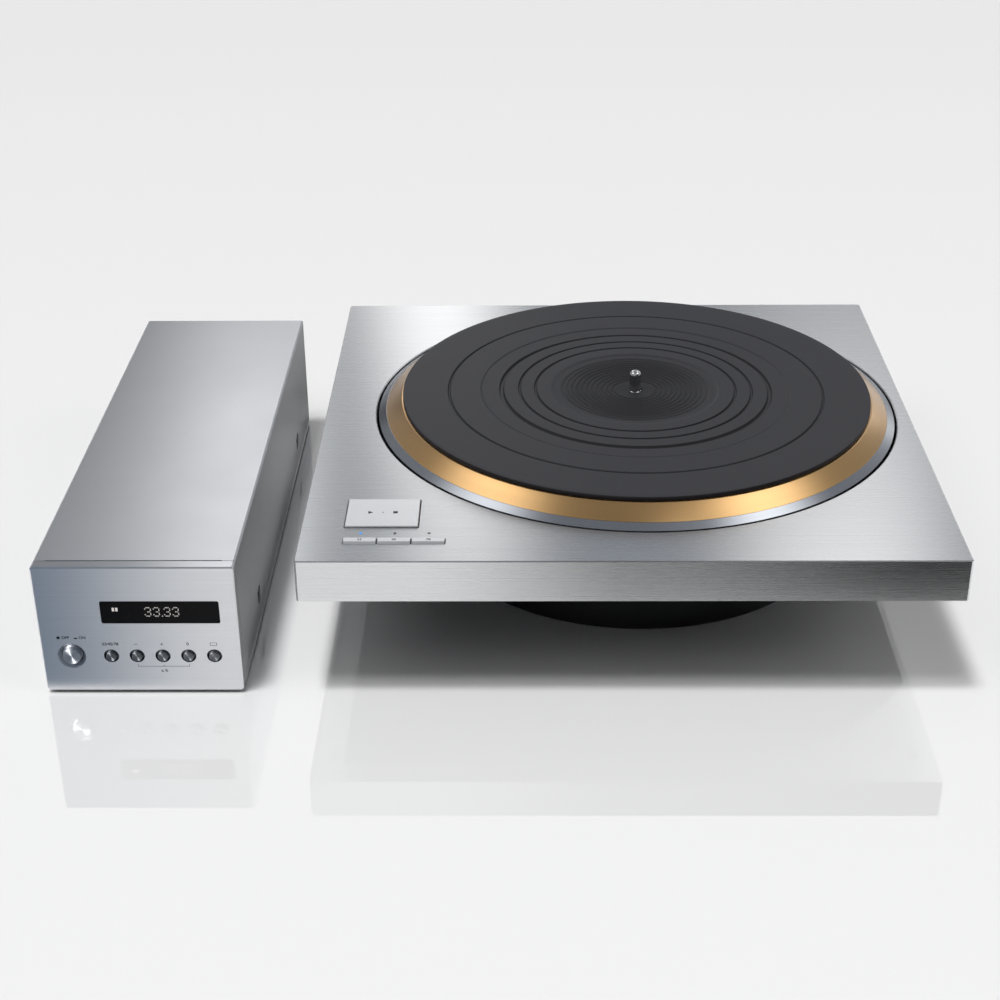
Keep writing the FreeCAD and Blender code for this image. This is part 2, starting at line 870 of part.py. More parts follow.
# Platter and rotor
def make_platter_body():
    """The aluminium casting, with blind holes drilled up into the rim for the weights."""
    recess = hub_flange_radius + hub_recess_clearance
    body = turned([(platter_bore_radius, brass_bottom), (platter_bore_radius, hub_flange_top),
                   (recess, hub_flange_top), (recess, web_bottom),
                   (platter_rim_inner, web_bottom), (platter_rim_inner, platter_rim_bottom),
                   (platter_radius - platter_rim_bevel, platter_rim_bottom),
                   (platter_radius, platter_rim_bottom + platter_rim_bevel),
                   (platter_radius, platter_edge_top), (brass_foot_radius, brass_bottom)])
    tools = [upright(weight_radius, platter_rim_bottom - past, weight_top, x, y)
             for x, y in weight_places]
    tools += [upright(platter_screw_radius, hub_flange_top - past, brass_bottom + past, x, y)
              for x, y in platter_screw_places]
    return body.cut(tools)


def make_brass_plate():
    """The heavy brass top layer, its outer face a wide cone."""
    hole = spindle_radius + brass_hole_clearance
    plate = turned([(hole, brass_bottom), (brass_foot_radius, brass_bottom),
                    (brass_top_radius, brass_top), (hole, brass_top)])
    tools = []
    for x, y in platter_screw_places:
        tools.append(upright(platter_screw_radius, brass_bottom - past, brass_top, x, y))
        tools.append(upright(counterbore_radius, screw_seat, brass_top + past, x, y))
    return plate.cut(tools)


def make_platter_screws():
    return [pan_screw(x, y, screw_seat, platter_screw_head, platter_screw_head,
                      platter_screw_radius, platter_screw_length, upwards=False)
            for x, y in platter_screw_places]


def make_record_mat():
    """The mat, one turned outline that runs inwards over its top."""
    def groove(radius):
        return [(radius + mat_groove_half, mat_top), (radius, mat_top - mat_groove_depth),
                (radius - mat_groove_half, mat_top)]

    def dish(radius):
        share = (ripple_outer - radius) / (ripple_outer - mat_hole_radius)
        return mat_top - label_depth - (dish_depth - label_depth) * share

    outline = [(mat_hole_radius, brass_top), (mat_radius, brass_top),
               (mat_radius, mat_top - mat_edge), (mat_radius - mat_edge, mat_top)]
    outline += groove(mat_groove_radii[0])
    outline += [(trough_outer, mat_top), (trough_outer - trough_slope, mat_top - trough_depth),
                (trough_inner + trough_slope, mat_top - trough_depth), (trough_inner, mat_top)]
    outline += groove(mat_groove_radii[1])
    outline += groove(mat_groove_radii[2])
    outline += [(label_edge, mat_top), (label_edge - label_slope, mat_top - label_depth)]
    for index in range(ripple_count):
        radius = ripple_outer - ripple_pitch * index
        outline.append((radius, dish(radius)))
        outline.append((radius - ripple_pitch / 2, dish(radius) - ripple_height))
    outline.append((mat_hole_radius, mat_top - dish_depth))
    return turned(outline)


def make_spindle_shaft():
    """The shaft: a journal in the bushes, a collar in the hub, a root and the record spindle."""
    root_top = mat_top - dish_depth
    pin = upright(spindle_radius, root_top, spindle_top)
    tip = edges_at_height(pin, spindle_top)
    pin = pin.makeFillet(spindle_radius - spindle_tip_flat, tip)
    root = upright(spindle_root_radius, spindle_root_bottom, root_top)
    shaft = turned([(0.0, thrust_top + thrust_gap),
                    (journal_radius - journal_bevel, thrust_top + thrust_gap),
                    (journal_radius, thrust_top + thrust_gap + journal_bevel),
                    (journal_radius, journal_top), (shaft_collar_radius, journal_top),
                    (shaft_collar_radius, shaft_collar_top), (0.0, shaft_collar_top)])
    return shaft.fuse([root, pin]).removeSplitter()


def make_rotor_hub():
    """A bell over the bearing, with a flange that the platter sits on."""
    hub = turned([(shaft_collar_radius, hub_flange_bottom), (hub_bell_radius, hub_flange_bottom),
                  (hub_bell_radius, hub_bottom), (hub_tube_radius, hub_bottom),
                  (hub_tube_radius, hub_flange_bottom), (hub_flange_radius, hub_flange_bottom),
                  (hub_flange_radius, hub_flange_top), (shaft_collar_radius, hub_flange_top)])
    return hub.cut([upright(platter_screw_radius, hub_flange_top - hub_thread_depth,
                            hub_flange_top + past, x, y) for x, y in platter_screw_places])


def make_magnets(low):
    pitch = 360.0 / magnet_count
    return [sector(magnet_inner, magnet_outer, low, low + magnet_thickness,
                   pitch - magnet_gap_angle, pitch * index) for index in range(magnet_count)]


def make_encoder_disc():
    disc = sector(hub_tube_radius, encoder_radius, hub_bottom - encoder_thickness, hub_bottom)
    slots = []
    for index in range(encoder_slot_count):
        slot = block(encoder_slot_inner, encoder_slot_outer, -encoder_slot_half, encoder_slot_half,
                     hub_bottom - encoder_thickness - past, hub_bottom + past)
        slot.rotate(origin, along_z, 360.0 / encoder_slot_count * index)
        slots.append(slot)
    return disc.cut(slots)


# Control unit: a thick front panel, a tray, and a folded cover that slides on behind the panel
def window_block(y_low, y_high):
    shape = block(window_low_x, window_low_x + window_width, y_low, y_high,
                  window_low_z, window_low_z + window_height)
    return shape.makeFillet(window_corner, edges_along(shape, along_y))


def make_control_front_panel():
    """The thick panel: rounded low corners, bevelled edges, a window and holes for six buttons."""
    panel = block(unit_left, unit_right, unit_front, front_back, unit_bottom, unit_top)
    low = [edge for edge in edges_along(panel, along_y) if edge.BoundBox.ZMax < unit_bottom + past]
    panel = panel.makeFillet(front_low_corner, low)
    high = [edge for edge in edges_along(panel, along_y) if edge.BoundBox.ZMin > unit_top - past]
    panel = panel.makeChamfer(top_edge_bevel, high)
    panel = panel.makeChamfer(front_bevel, edges_at_depth(panel, unit_front))
    recess = Part.makeCone(power_ring_radius, power_hole_radius, power_ring_depth,
                           FreeCAD.Vector(power_x, unit_front, button_z), along_y)
    tools = [window_block(unit_front - past, front_back + past), recess,
             lying(power_hole_radius, unit_front - past, front_back + past, power_x, button_z)]
    tools += [lying(button_hole_radius, unit_front - past, front_back + past, x, button_z)
              for x in button_xs]
    return panel.cut(tools)


def make_control_cover():
    """The folded cover: a channel that is open below, with screw holes through its sides and a
    shallow step behind the front panel."""
    cover = block(unit_left, unit_right, cover_front, unit_back, unit_bottom, unit_top)
    high = [edge for edge in edges_along(cover, along_y) if edge.BoundBox.ZMin > unit_top - past]
    cover = cover.makeChamfer(top_edge_bevel, high)
    tools = [block(inner_left, inner_right, cover_front - past, unit_back + past,
                   unit_bottom - past, unit_top - cover_sheet),
             block(unit_left + lip_inset, unit_right - lip_inset, cover_front - past,
                   cover_front + lip_length, unit_top - lip_depth, unit_top + past)]
    for depth in side_screw_depths:
        tools.append(crossing(side_screw_head + side_screw_head_gap, unit_left - past,
                              unit_right + past, unit_front + depth, side_screw_height))
    return cover.cut(tools)


def make_control_base():
    """The tray: a floor and two low side walls with threads for the cover's screws."""
    tray = block(inner_left, inner_right, cover_front, rear_panel_back, tray_bottom, tray_side_height)
    tools = [block(inner_left + tray_sheet, inner_right - tray_sheet, cover_front - past,
                   rear_panel_back + past, tray_floor, tray_side_height + past)]
    for depth in side_screw_depths:
        tools.append(crossing(side_screw_radius, unit_left, unit_right, unit_front + depth,
                              side_screw_height))
    return tray.cut(tools)


def make_cover_screws():
    """Flat-headed screws in the cover's sides, their heads against the tray."""
    screws = []
    for depth in side_screw_depths:
        for wall, way in ((inner_left, -1), (inner_right, 1)):
            low, high = sorted((wall, wall + way * side_screw_head_height))
            head = crossing(side_screw_head, low, high, unit_front + depth, side_screw_height)
            low, high = sorted((wall, wall - way * side_screw_length))
            shank = crossing(side_screw_radius, low, high, unit_front + depth, side_screw_height)
            screws.append(head.fuse(shank).removeSplitter())
    return screws


def make_control_feet():
    feet = []
    for x in (unit_left + foot_inset_x, unit_right - foot_inset_x):
        for y in (unit_front + foot_inset_y, unit_back - foot_inset_y):
            foot = upright(foot_radius, 0.0, tray_bottom, x, y)
            feet.append(foot.makeChamfer(foot_bevel, edges_at_height(foot, 0.0)))
    return feet


def make_display_module():
    front = unit_front + module_front
    return block(window_low_x + module_side_margin,
                 window_low_x + window_width - module_side_margin, front, front + module_thickness,
                 window_low_z - module_height_margin,
                 window_low_z + window_height + module_height_margin)


def make_power_button():
    """A round cap with a rounded rim, and a stem that reaches back to the switch."""
    face = unit_front - power_proud
    cap_end = unit_front + power_cap_end
    cap = lying(power_radius, face, cap_end, power_x, button_z)
    cap = cap.makeFillet(power_rounding, edges_at_depth(cap, face))
    stem = lying(power_stem_radius, cap_end, power_switch_front - power_stem_gap, power_x, button_z)
    return cap.fuse(stem).removeSplitter()


def make_power_switch():
    return block(power_x - power_switch_half_width, power_x + power_switch_half_width,
                 power_switch_front, power_switch_front + power_switch_length,
                 button_z - power_switch_half_height, button_z + power_switch_half_height)


def make_button(x):
    """A small round cap, a flange that keeps it behind the panel, and a stem."""
    face = unit_front - button_proud
    flange_end = button_flange_front + button_flange_thickness
    switch_front = button_board_front - button_switch_depth
    cap = lying(button_radius, face, button_flange_front, x, button_z)
    cap = cap.makeFillet(button_rounding, edges_at_depth(cap, face))
    flange = lying(button_flange_radius, button_flange_front, flange_end, x, button_z)
    stem = lying(button_stem_radius, flange_end, switch_front - stem_clearance, x, button_z)
    return cap.fuse([flange, stem]).removeSplitter()


def make_button_board():
    return block(button_xs[0] - button_board_left, button_xs[-1] + button_board_right,
                 button_board_front, button_board_front + board_thickness,
                 button_z - button_board_half_height, button_z + button_board_half_height)


def make_button_switches():
    return [block(x - button_switch_half, x + button_switch_half,
                  button_board_front - button_switch_depth, button_board_front,
                  button_z - button_switch_half, button_z + button_switch_half)
            for x in button_xs]


def make_control_rear_panel():
    side = cover_sheet + tray_sheet + rear_side_gap
    panel = block(unit_left + side, unit_right - side, rear_panel_front, rear_panel_back,
                  tray_floor, unit_top - cover_sheet)
    tools = [block(inlet_x - inlet_half_width, inlet_x + inlet_half_width, rear_panel_front - past,
                   rear_panel_back + past, inlet_z - inlet_half_height, inlet_z + inlet_half_height),
             lying(socket_radius, rear_panel_front - past, rear_panel_back + past, drive_x, inlet_z)]
    return panel.cut(tools)


def make_mains_inlet():
    """A mains inlet with three blades in a six-sided mouth, and a flange on the rear panel."""
    body = block(inlet_x - inlet_half_width, inlet_x + inlet_half_width,
                 rear_panel_back - inlet_depth, rear_panel_back,
                 inlet_z - inlet_half_height, inlet_z + inlet_half_height)
    flange_back = rear_panel_back + inlet_flange_thickness
    flange = block(inlet_x - inlet_flange_half_width, inlet_x + inlet_flange_half_width,
                   rear_panel_back, flange_back,
                   inlet_z - inlet_flange_half_height, inlet_z + inlet_flange_half_height)
    flange = flange.makeFillet(inlet_flange_corner, edges_along(flange, along_y))
    floor = rear_panel_back - inlet_mouth_depth
    wide = inlet_mouth_half_width
    high = inlet_mouth_half_height
    cut_wide = wide - inlet_mouth_corner
    cut_high = high - inlet_mouth_corner
    mouth = [(-wide, -high), (wide, -high), (wide, cut_high), (cut_wide, high), (-cut_wide, high),
             (-wide, cut_high)]
    points = [FreeCAD.Vector(inlet_x + x, floor, inlet_z + z) for x, z in mouth]
    cavity = extruded(points, along_y * (flange_back + past - floor))
    body = body.fuse(flange).removeSplitter().cut(cavity)
    blades = []
    for x, z in blade_places:
        blades.append(block(inlet_x + x - blade_half_width, inlet_x + x + blade_half_width,
                            floor - past, floor + blade_length,
                            inlet_z + z - blade_half_height, inlet_z + z + blade_half_height))
    return body.fuse(blades).removeSplitter()


def make_transformer():
    """A ring-core transformer lying on the tray."""
    x = (unit_left + unit_right) / 2
    y = unit_front + transformer_from_front
    top = tray_floor + transformer_height
    core = upright(transformer_radius, tray_floor, top, x, y)
    core = core.makeFillet(transformer_rounding, [edge for edge in core.Edges if edge.Closed])
    return core.cut(upright(transformer_hole, tray_floor - past, top + past, x, y))


def make_power_board():
    """The supply board on four standoffs, with a row of round capacitors and a heatsink."""
    front = unit_front + power_board_start
    back = unit_front + power_board_end
    left = unit_left + power_board_side_gap
    right = unit_right - power_board_side_gap
    bottom = tray_floor + power_board_raise
    top = bottom + board_thickness
    solids = [block(left, right, front, back, bottom, top)]
    for x in (left + standoff_inset, right - standoff_inset):
        for y in (front + standoff_inset, back - standoff_inset):
            solids.append(upright(standoff_radius, tray_floor, bottom, x, y))
    for index in range(can_count):
        solids.append(upright(can_radius, top, top + can_height,
                              left + can_first + can_pitch * index, back - can_from_back))
    fin = front + heatsink_start
    solids.append(block(left + heatsink_inset, right - heatsink_inset, fin,
                        fin + heatsink_thickness, top, top + heatsink_height))
    return solids


keep("top_panel", make_top_panel())
keep("lower_chassis", make_lower_chassis())
keep("chassis_screws", make_chassis_screws())
keep("motor_housing", make_motor_housing())
keep("housing_screws", make_housing_screws())
keep("motor_base_cover", make_motor_base_cover())
keep("base_cover_screws", make_base_cover_screws())
keep("bearing_housing", make_bearing_housing())
keep("bearing_bushes", make_bearing_bushes())
keep("thrust_pad", upright(bearing_bore, bearing_bore_floor, thrust_top))
keep("bearing_screws", make_bearing_screws())
keep("stator_board", make_stator_board())
keep("stator_coils", make_stator_coils())
keep("stator_posts", make_stator_posts())
keep("encoder_sensor", make_encoder_sensor())
keep("deck_socket", make_socket(0.0, deck_socket_flat, deck_socket_height, deck_socket_depth,
                                deck_socket_out, deck_socket_flange))
keep("key_board", make_key_board())
keep("key_board_screws", make_key_board_screws())
keep("key_switches", make_key_switches())
keep("start_stop_key", make_start_stop_key())
for index, name in enumerate(speed_names):
    keep("speed_key_" + name, make_speed_key(index))
    keep("lamp_" + name, make_lamp(index))

keep("platter_body", make_platter_body())
keep("brass_plate", make_brass_plate())
keep("record_mat", make_record_mat())
keep("damping_ring", sector(damping_inner, platter_rim_inner - damping_gap,
                            web_bottom - damping_thickness, web_bottom))
keep("balance_weights", [upright(weight_radius, platter_rim_bottom + weight_recess, weight_top, x, y)
                         for x, y in weight_places])
keep("platter_screws", make_platter_screws())
keep("spindle_shaft", make_spindle_shaft())
keep("rotor_hub", make_rotor_hub())
keep("rotor_upper_yoke", sector(hub_tube_radius, yoke_radius, upper_yoke_bottom,
                                upper_yoke_bottom + yoke_thickness))
keep("rotor_upper_magnets", make_magnets(upper_yoke_bottom - magnet_thickness))
keep("rotor_lower_yoke", sector(hub_tube_radius, yoke_radius, hub_bottom, lower_yoke_top))
keep("rotor_lower_magnets", make_magnets(lower_yoke_top))
keep("encoder_disc", make_encoder_disc())

keep("control_front_panel", make_control_front_panel())
keep("control_cover", make_control_cover())
keep("control_base", make_control_base())
keep("cover_screws", make_cover_screws())
keep("control_feet", make_control_feet())
keep("display_window", window_block(unit_front + glass_inset,
                                    unit_front + glass_inset + glass_thickness))
keep("display_module", make_display_module())
keep("power_button", make_power_button())
keep("power_switch", make_power_switch())
for x, name in zip(button_xs, button_names):
    keep(name, make_button(x))
keep("button_board", make_button_board())
keep("button_switches", make_button_switches())
keep("control_rear_panel", make_control_rear_panel())
keep("mains_inlet", make_mains_inlet())
keep("drive_socket", make_socket(drive_x, rear_panel_back, inlet_z, drive_socket_depth,
                                 drive_socket_out, drive_socket_flange))
keep("power_board", make_power_board())
keep("transformer", make_transformer())
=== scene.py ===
# %% [markdown]
# # A turntable in two boxes
#
# A square slab of brushed aluminium carries a heavy platter with a brass layer and a rubber mat,
# and stands on its round motor housing. Beside it is a long control unit with a mains button, a
# speed display and five small buttons.
#
# This lesson gives every node its finish, and makes the mat, brass, spindle, buttons and screws
# again as finer surfaces, with the printed marks.

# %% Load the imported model
import math

import bmesh
import bpy
import numpy as np
from mathutils import Matrix, Quaternion, Vector


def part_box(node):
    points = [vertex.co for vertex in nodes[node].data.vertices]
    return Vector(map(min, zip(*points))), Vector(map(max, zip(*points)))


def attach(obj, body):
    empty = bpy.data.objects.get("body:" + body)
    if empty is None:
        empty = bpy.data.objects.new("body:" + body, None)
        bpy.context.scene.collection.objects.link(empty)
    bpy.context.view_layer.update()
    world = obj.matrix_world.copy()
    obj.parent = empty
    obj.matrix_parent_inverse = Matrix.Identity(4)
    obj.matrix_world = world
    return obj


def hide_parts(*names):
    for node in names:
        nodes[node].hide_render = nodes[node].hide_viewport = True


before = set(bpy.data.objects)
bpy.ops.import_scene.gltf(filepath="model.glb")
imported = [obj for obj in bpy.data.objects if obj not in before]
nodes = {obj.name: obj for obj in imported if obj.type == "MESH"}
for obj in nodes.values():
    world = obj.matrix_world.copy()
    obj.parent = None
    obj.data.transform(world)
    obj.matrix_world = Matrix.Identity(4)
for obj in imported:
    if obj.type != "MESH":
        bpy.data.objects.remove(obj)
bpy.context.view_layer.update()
scene = bpy.context.scene
mm = 0.001

# %% [markdown]
# ## Places that several steps share
#
# A box round each CAD node gives most places, so they need not be written down twice: the front
# panel's box says where the marks go, and a button's middle where its turned face is made.

# %% Read places from the nodes
def middle(node):
    """The middle of a node's box, in metres."""
    low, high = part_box(node)
    return np.array((low + high) / 2)


panel_low, panel_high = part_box("control_front_panel")
panel_front = panel_low.y / mm
unit_left, unit_right = panel_low.x / mm, panel_high.x / mm
unit_bottom = panel_low.z / mm
print("panel front at y %.1f mm" % panel_front)

# %% [markdown]
# ## The camera
#
# The camera looks down on the pair from the front. Its direction is built from three angles: how far it
# looks down, how far it turns, and a small roll. With its axes worked out, it needs no target object.

# %% Set the camera
def camera_axes(down, turn, roll):
    """Right, up and forward of a camera. Forward is (sin turn, cos turn) on the level, tipped
    down; right is level; up is their cross product; roll then turns right towards up."""
    down, turn, roll = np.radians([down, turn, roll])
    forward = np.array([np.sin(turn) * np.cos(down), np.cos(turn) * np.cos(down), -np.sin(down)])
    right = np.array([np.cos(turn), -np.sin(turn), 0.0])
    up = np.cross(right, forward)
    rolled_right = right * np.cos(roll) + up * np.sin(roll)
    return rolled_right, up * np.cos(roll) - right * np.sin(roll), forward


camera_place = (-0.0712, -1.0104, 0.5626)
camera = bpy.data.objects.new("camera", bpy.data.cameras.new("camera"))
scene.collection.objects.link(camera)
right, up, forward = camera_axes(down=28.30, turn=-0.82, roll=-0.48)
turned_axes = Matrix(np.column_stack([right, up, -forward]).tolist()).to_4x4()
camera.matrix_world = Matrix.Translation(camera_place) @ turned_axes
camera.data.sensor_width = 36.0
camera.data.lens = 63.35
camera.data.clip_start = 0.01
scene.camera = camera
scene.view_settings.view_transform = "Standard"
print("lens", camera.data.lens)

# %% [markdown]
# ## A short way to write nodes
#
# A material is a graph of nodes. `step` adds a node, sets it and feeds it in one call: a feed is a
# plain value, or the output of an earlier node, which is then linked. `group` makes a shader node
# group with named inputs and outputs, so that one effect is built once and used often.

# %% Helpers for node trees
def step(tree, kind, feeds=None, **settings):
    """Add one shader node and give its outputs. `feeds` names or numbers its sockets."""
    made = tree.nodes.new("ShaderNode" + kind)
    for name, value in settings.items():
        setattr(made, name, value)
    for socket, value in (feeds or {}).items():
        if isinstance(value, bpy.types.NodeSocket):
            tree.links.new(value, made.inputs[socket])
        else:
            made.inputs[socket].default_value = value
    return made.outputs


def maths(tree, operation, total, *others, **settings):
    """Join numbers with Math nodes of one operation, one after the other."""
    for other in others:
        feeds = {0: total, 1: other}
        total = step(tree, "Math", feeds, operation=operation, **settings)[0]
    return total


def vectors(tree, operation, *feeds, output="Vector"):
    """One Vector Math node."""
    return step(tree, "VectorMath", dict(enumerate(feeds)), operation=operation)[output]


def apart(tree, vector):
    """The three numbers of a vector."""
    return step(tree, "SeparateXYZ", {0: vector})


def joined(tree, *numbers):
    """A vector from its numbers."""
    return step(tree, "CombineXYZ", dict(enumerate(numbers)))[0]


def noise(tree, place, scale, detail, roughness=0.5):
    """A noise texture's value."""
    feeds = {"Vector": place, "Scale": scale, "Detail": detail, "Roughness": roughness}
    return step(tree, "TexNoise", feeds)[0]


def rescaled(tree, value, low, high, to_low=0.0, to_high=1.0, curve="LINEAR"):
    """Carry a value from one range to another, kept inside the new one."""
    feeds = {"Value": value, "From Min": low, "From Max": high, "To Min": to_low,
             "To Max": to_high}
    return step(tree, "MapRange", feeds, interpolation_type=curve)[0]


def mixed(tree, share, first, second, kind="FLOAT"):
    """Mix two values: the first where the share is 0, the second where it is 1. The Mix node
    has sockets 2 and 3 for numbers, 4 and 5 for vectors, and 6 and 7 for colours."""
    output = ("FLOAT", "VECTOR", "RGBA").index(kind)
    socket = 2 + 2 * output
    feeds = {0: share, socket: first, socket + 1: second}
    return step(tree, "Mix", feeds, data_type=kind)[output]


def object_place(tree):
    """Where a point is on the piece: the object's own coordinates, in metres."""
    return step(tree, "TexCoord")["Object"]


def place_from(tree, centre, turn=0):
    """The same place counted from a centre, in axes turned about X by some degrees."""
    feeds = {"Vector": object_place(tree), "Location": tuple(centre),
             "Rotation": (math.radians(turn), 0, 0)}
    return step(tree, "Mapping", feeds, vector_type="TEXTURE")[0]


def group(name, vector_inputs, number_inputs, number_outputs):
    """A new shader node group and its inputs, from lists of the sockets' names."""
    tree = bpy.data.node_groups.new(name, "ShaderNodeTree")
    for names, way, kind in ((vector_inputs, "INPUT", "Vector"), (number_inputs, "INPUT", "Float"),
                             (number_outputs, "OUTPUT", "Float")):
        for socket in names:
            tree.interface.new_socket(socket, in_out=way, socket_type="NodeSocket" + kind)
    return tree, tree.nodes.new("NodeGroupInput").outputs


def give(tree, **results):
    """End a group by linking its results to its outputs."""
    wanted = tree.nodes.new("NodeGroupOutput").inputs
    for name, result in results.items():
        tree.links.new(result, wanted[name])
    print("group:", tree.name)


def use(tree, made_group, **feeds):
    """Place a group in a material and feed it."""
    return step(tree, "Group", feeds, node_tree=made_group)


# %% [markdown]
# ## Straight grain
#
# The deck, the front panel and the keys are brushed: an abrasive belt ran along them from left to
# right. A noise texture that is stretched a few hundred times along one axis gives such lines.
# Hairlines are mixed with broader bands, because real brushing is never quite even. On a face that
# looks sideways the lines run from front to back, so two axes are swapped there.

# %% Build the straight grain
def looks_sideways(tree):
    """1 on a face that looks left or right: its normal's x is over 0.8, whatever its sign."""
    x = apart(tree, step(tree, "NewGeometry")["True Normal"])[0]
    size = step(tree, "Math", {0: x}, operation="ABSOLUTE")[0]
    return maths(tree, "GREATER_THAN", size, 0.8)


straight_grain, given = group("straight grain", ["Place"], ["Width", "Length"],
                              ["Lines", "Height"])
tree = straight_grain
part = apart(tree, given["Place"])
sideways = looks_sideways(tree)
run = maths(tree, "DIVIDE", mixed(tree, sideways, part[0], part[1]), given["Length"])
cross = maths(tree, "DIVIDE", mixed(tree, sideways, part[1], part[0]), given["Width"])
stretched = joined(tree, run, cross, maths(tree, "DIVIDE", part[2], given["Width"]))
hairlines = noise(tree, stretched, 1.0, 2.0, 0.7)
bands = noise(tree, stretched, 0.28, 1.0)
lines = mixed(tree, 0.3, hairlines, bands)
give(tree, Lines=rescaled(tree, lines, 0.3, 0.7), Height=hairlines)

# %% [markdown]
# ## Turned grain
#
# Anything made on a lathe has rings round its axis. The pattern depends on the distance from the
# axis, with a little of the angle in it so that no ring is perfectly even. The place that goes in
# has the axis as its Z.

# %% Build the turned grain
turned_grain, given = group("turned grain", ["Place"], ["Width"], ["Lines", "Height", "Radius"])
tree = turned_grain
part = apart(tree, given["Place"])
flat = joined(tree, part[0], part[1])
radius = vectors(tree, "LENGTH", flat, output="Value")
way = apart(tree, vectors(tree, "NORMALIZE", flat))
ring = maths(tree, "DIVIDE", maths(tree, "ADD", radius, part[2]), given["Width"])
ringed = joined(tree, ring, way[0], way[1])
rings = noise(tree, ringed, 1.0, 3.0, 0.6)
lines = mixed(tree, 0.35, rings, noise(tree, ringed, 0.17, 1.0))
give(tree, Lines=rescaled(tree, lines, 0.3, 0.7), Height=rings, Radius=radius)

# %% [markdown]
# ## Fine speckle
#
# Blasted metal, paint, rubber and moulded plastic have no direction. They show a fine speckle with
# slow patches over it. The material says how large the speckle is.

# %% Build the speckle
fine_speckle, given = group("fine speckle", ["Place"], ["Size"], ["Speckle", "Height"])
tree = fine_speckle
grit = noise(tree, given["Place"], maths(tree, "DIVIDE", 1.0, given["Size"]), 2.0, 0.6)
patches = noise(tree, given["Place"], 22.0, 3.0)
give(tree, Speckle=rescaled(tree, mixed(tree, 0.3, grit, patches), 0.3, 0.7), Height=grit)

# %% [markdown]
# ## One recipe for a finish
#
# Most finishes differ only in colour, gloss and pattern. The pattern's value swings the colour and
# the roughness a little either way, and its height is the relief that a Bump node turns into a
# normal. Numbers that are the same all over are set on the shader itself.

# %% Write the recipe
def finish(name, colour, roughness, pattern, worn_by=(), tint=0.06, swing=0.05,
           relief=0.004, **sockets):
    """A Principled material that follows one pattern, put on the CAD nodes `worn_by`. `pattern`
    is a function that gets the node tree and gives back a value, a height and, for a grain, the
    way that it runs. The relief and the sizes of patterns are in millimetres."""
    made = bpy.data.materials.new(name)
    made.use_nodes = True
    tree = made.node_tree
    surface = tree.nodes["Principled BSDF"].inputs
    for socket, value in sockets.items():
        surface[socket.replace("_", " ")].default_value = value
    value, height, *runs = pattern(tree)
    dark = tuple(part * (1 - tint) for part in colour) + (1,)
    light = tuple(min(part * (1 + tint), 1) for part in colour) + (1,)
    tree.links.new(mixed(tree, value, dark, light, "RGBA"), surface["Base Color"])
    rough = rescaled(tree, value, 0.0, 1.0, roughness + swing, roughness - swing)
    tree.links.new(rough, surface["Roughness"])
    bump = step(tree, "Bump", {"Height": height, "Distance": relief * mm})
    tree.links.new(bump[0], surface["Normal"])
    if runs:
        tree.links.new(runs[0], surface["Tangent"])
    for node in worn_by:
        slots = nodes[node].material_slots
        if not slots:
            nodes[node].data.materials.append(made)
        for slot in slots:
            slot.material = made
    return made


def metal(*recipe, smear=0.0, **rest):
    """Bare metal. `smear` draws reflections out across the lines of a grain, which takes a
    quarter turn from the tangent along them."""
    return finish(*recipe, Metallic=1.0, Anisotropic=smear, Anisotropic_Rotation=0.25, **rest)


def straight(width=0.3, length=150):
    """The pattern of brushed metal, and the way that its lines run."""
    def pattern(tree):
        grain = use(tree, straight_grain, Place=object_place(tree), Width=width * mm,
                    Length=length * mm)
        along = mixed(tree, looks_sideways(tree), (1, 0, 0), (0, 1, 0), "VECTOR")
        return grain["Lines"], grain["Height"], along
    return pattern


def speckled(size):
    """The pattern of blasted, painted or moulded surfaces."""
    def pattern(tree):
        grain = use(tree, fine_speckle, Place=object_place(tree), Size=size * mm)
        return grain["Speckle"], grain["Height"]
    return pattern


def lathe_turned(width, centre=(0, 0, 0), axis="Z"):
    """The pattern of turned metal round an axis, and the way that its rings run."""
    def pattern(tree):
        place = place_from(tree, centre, 90 if axis == "Y" else 0)
        grain = use(tree, turned_grain, Place=place, Width=width * mm)
        runs = step(tree, "Tangent", direction_type="RADIAL", axis=axis)[0]
        return grain["Lines"], grain["Height"], runs
    return pattern


def overlay(made, mask, colour):
    """Lay a second colour over a finish where the mask is 1, and give back the mixed one."""
    tree = made.node_tree
    base = tree.nodes["Principled BSDF"].inputs["Base Color"]
    both = mixed(tree, mask, base.links[0].from_socket, colour + (1,), "RGBA")
    tree.links.new(both, base)
    return both


# %% [markdown]
# ## Brushed and blasted aluminium
#
# Brushing makes a metal rough across its lines and smooth along them, so a reflection is smeared
# across the grain. The keys have a finer, paler face than the deck. The control unit's cover was
# blasted with fine beads, so its highlights are soft in every direction.

# %% Finish the deck, its keys and the cover
metal("brushed aluminium", (0.76, 0.77, 0.78), 0.27, straight(), ["top_panel"], smear=0.75,
      tint=0.024, swing=0.010, relief=0.0003)
metal("key aluminium", (0.96, 0.963, 0.97), 0.36, straight(0.15, 20),
      ["start_stop_key", "speed_key_33", "speed_key_45", "speed_key_78"], smear=0.2, tint=0.03,
      swing=0.03, relief=0.001)
metal("blasted aluminium", (0.76, 0.77, 0.79), 0.33, speckled(0.35), ["control_cover"],
      tint=0.05, swing=0.03, relief=0.003)
print("finished the deck and the cover")

# %% [markdown]
# ## The control unit's front panel
#
# The panel is brushed like the deck, but the cone round the mains button was cut on a lathe, so its
# lines are rings. Inside the cone's radius from the button's middle, the turned pattern and its
# tangent take over, so that the cone catches the light as a turned face does.

# %% Finish the front panel
cone_radius = 7.95 * mm


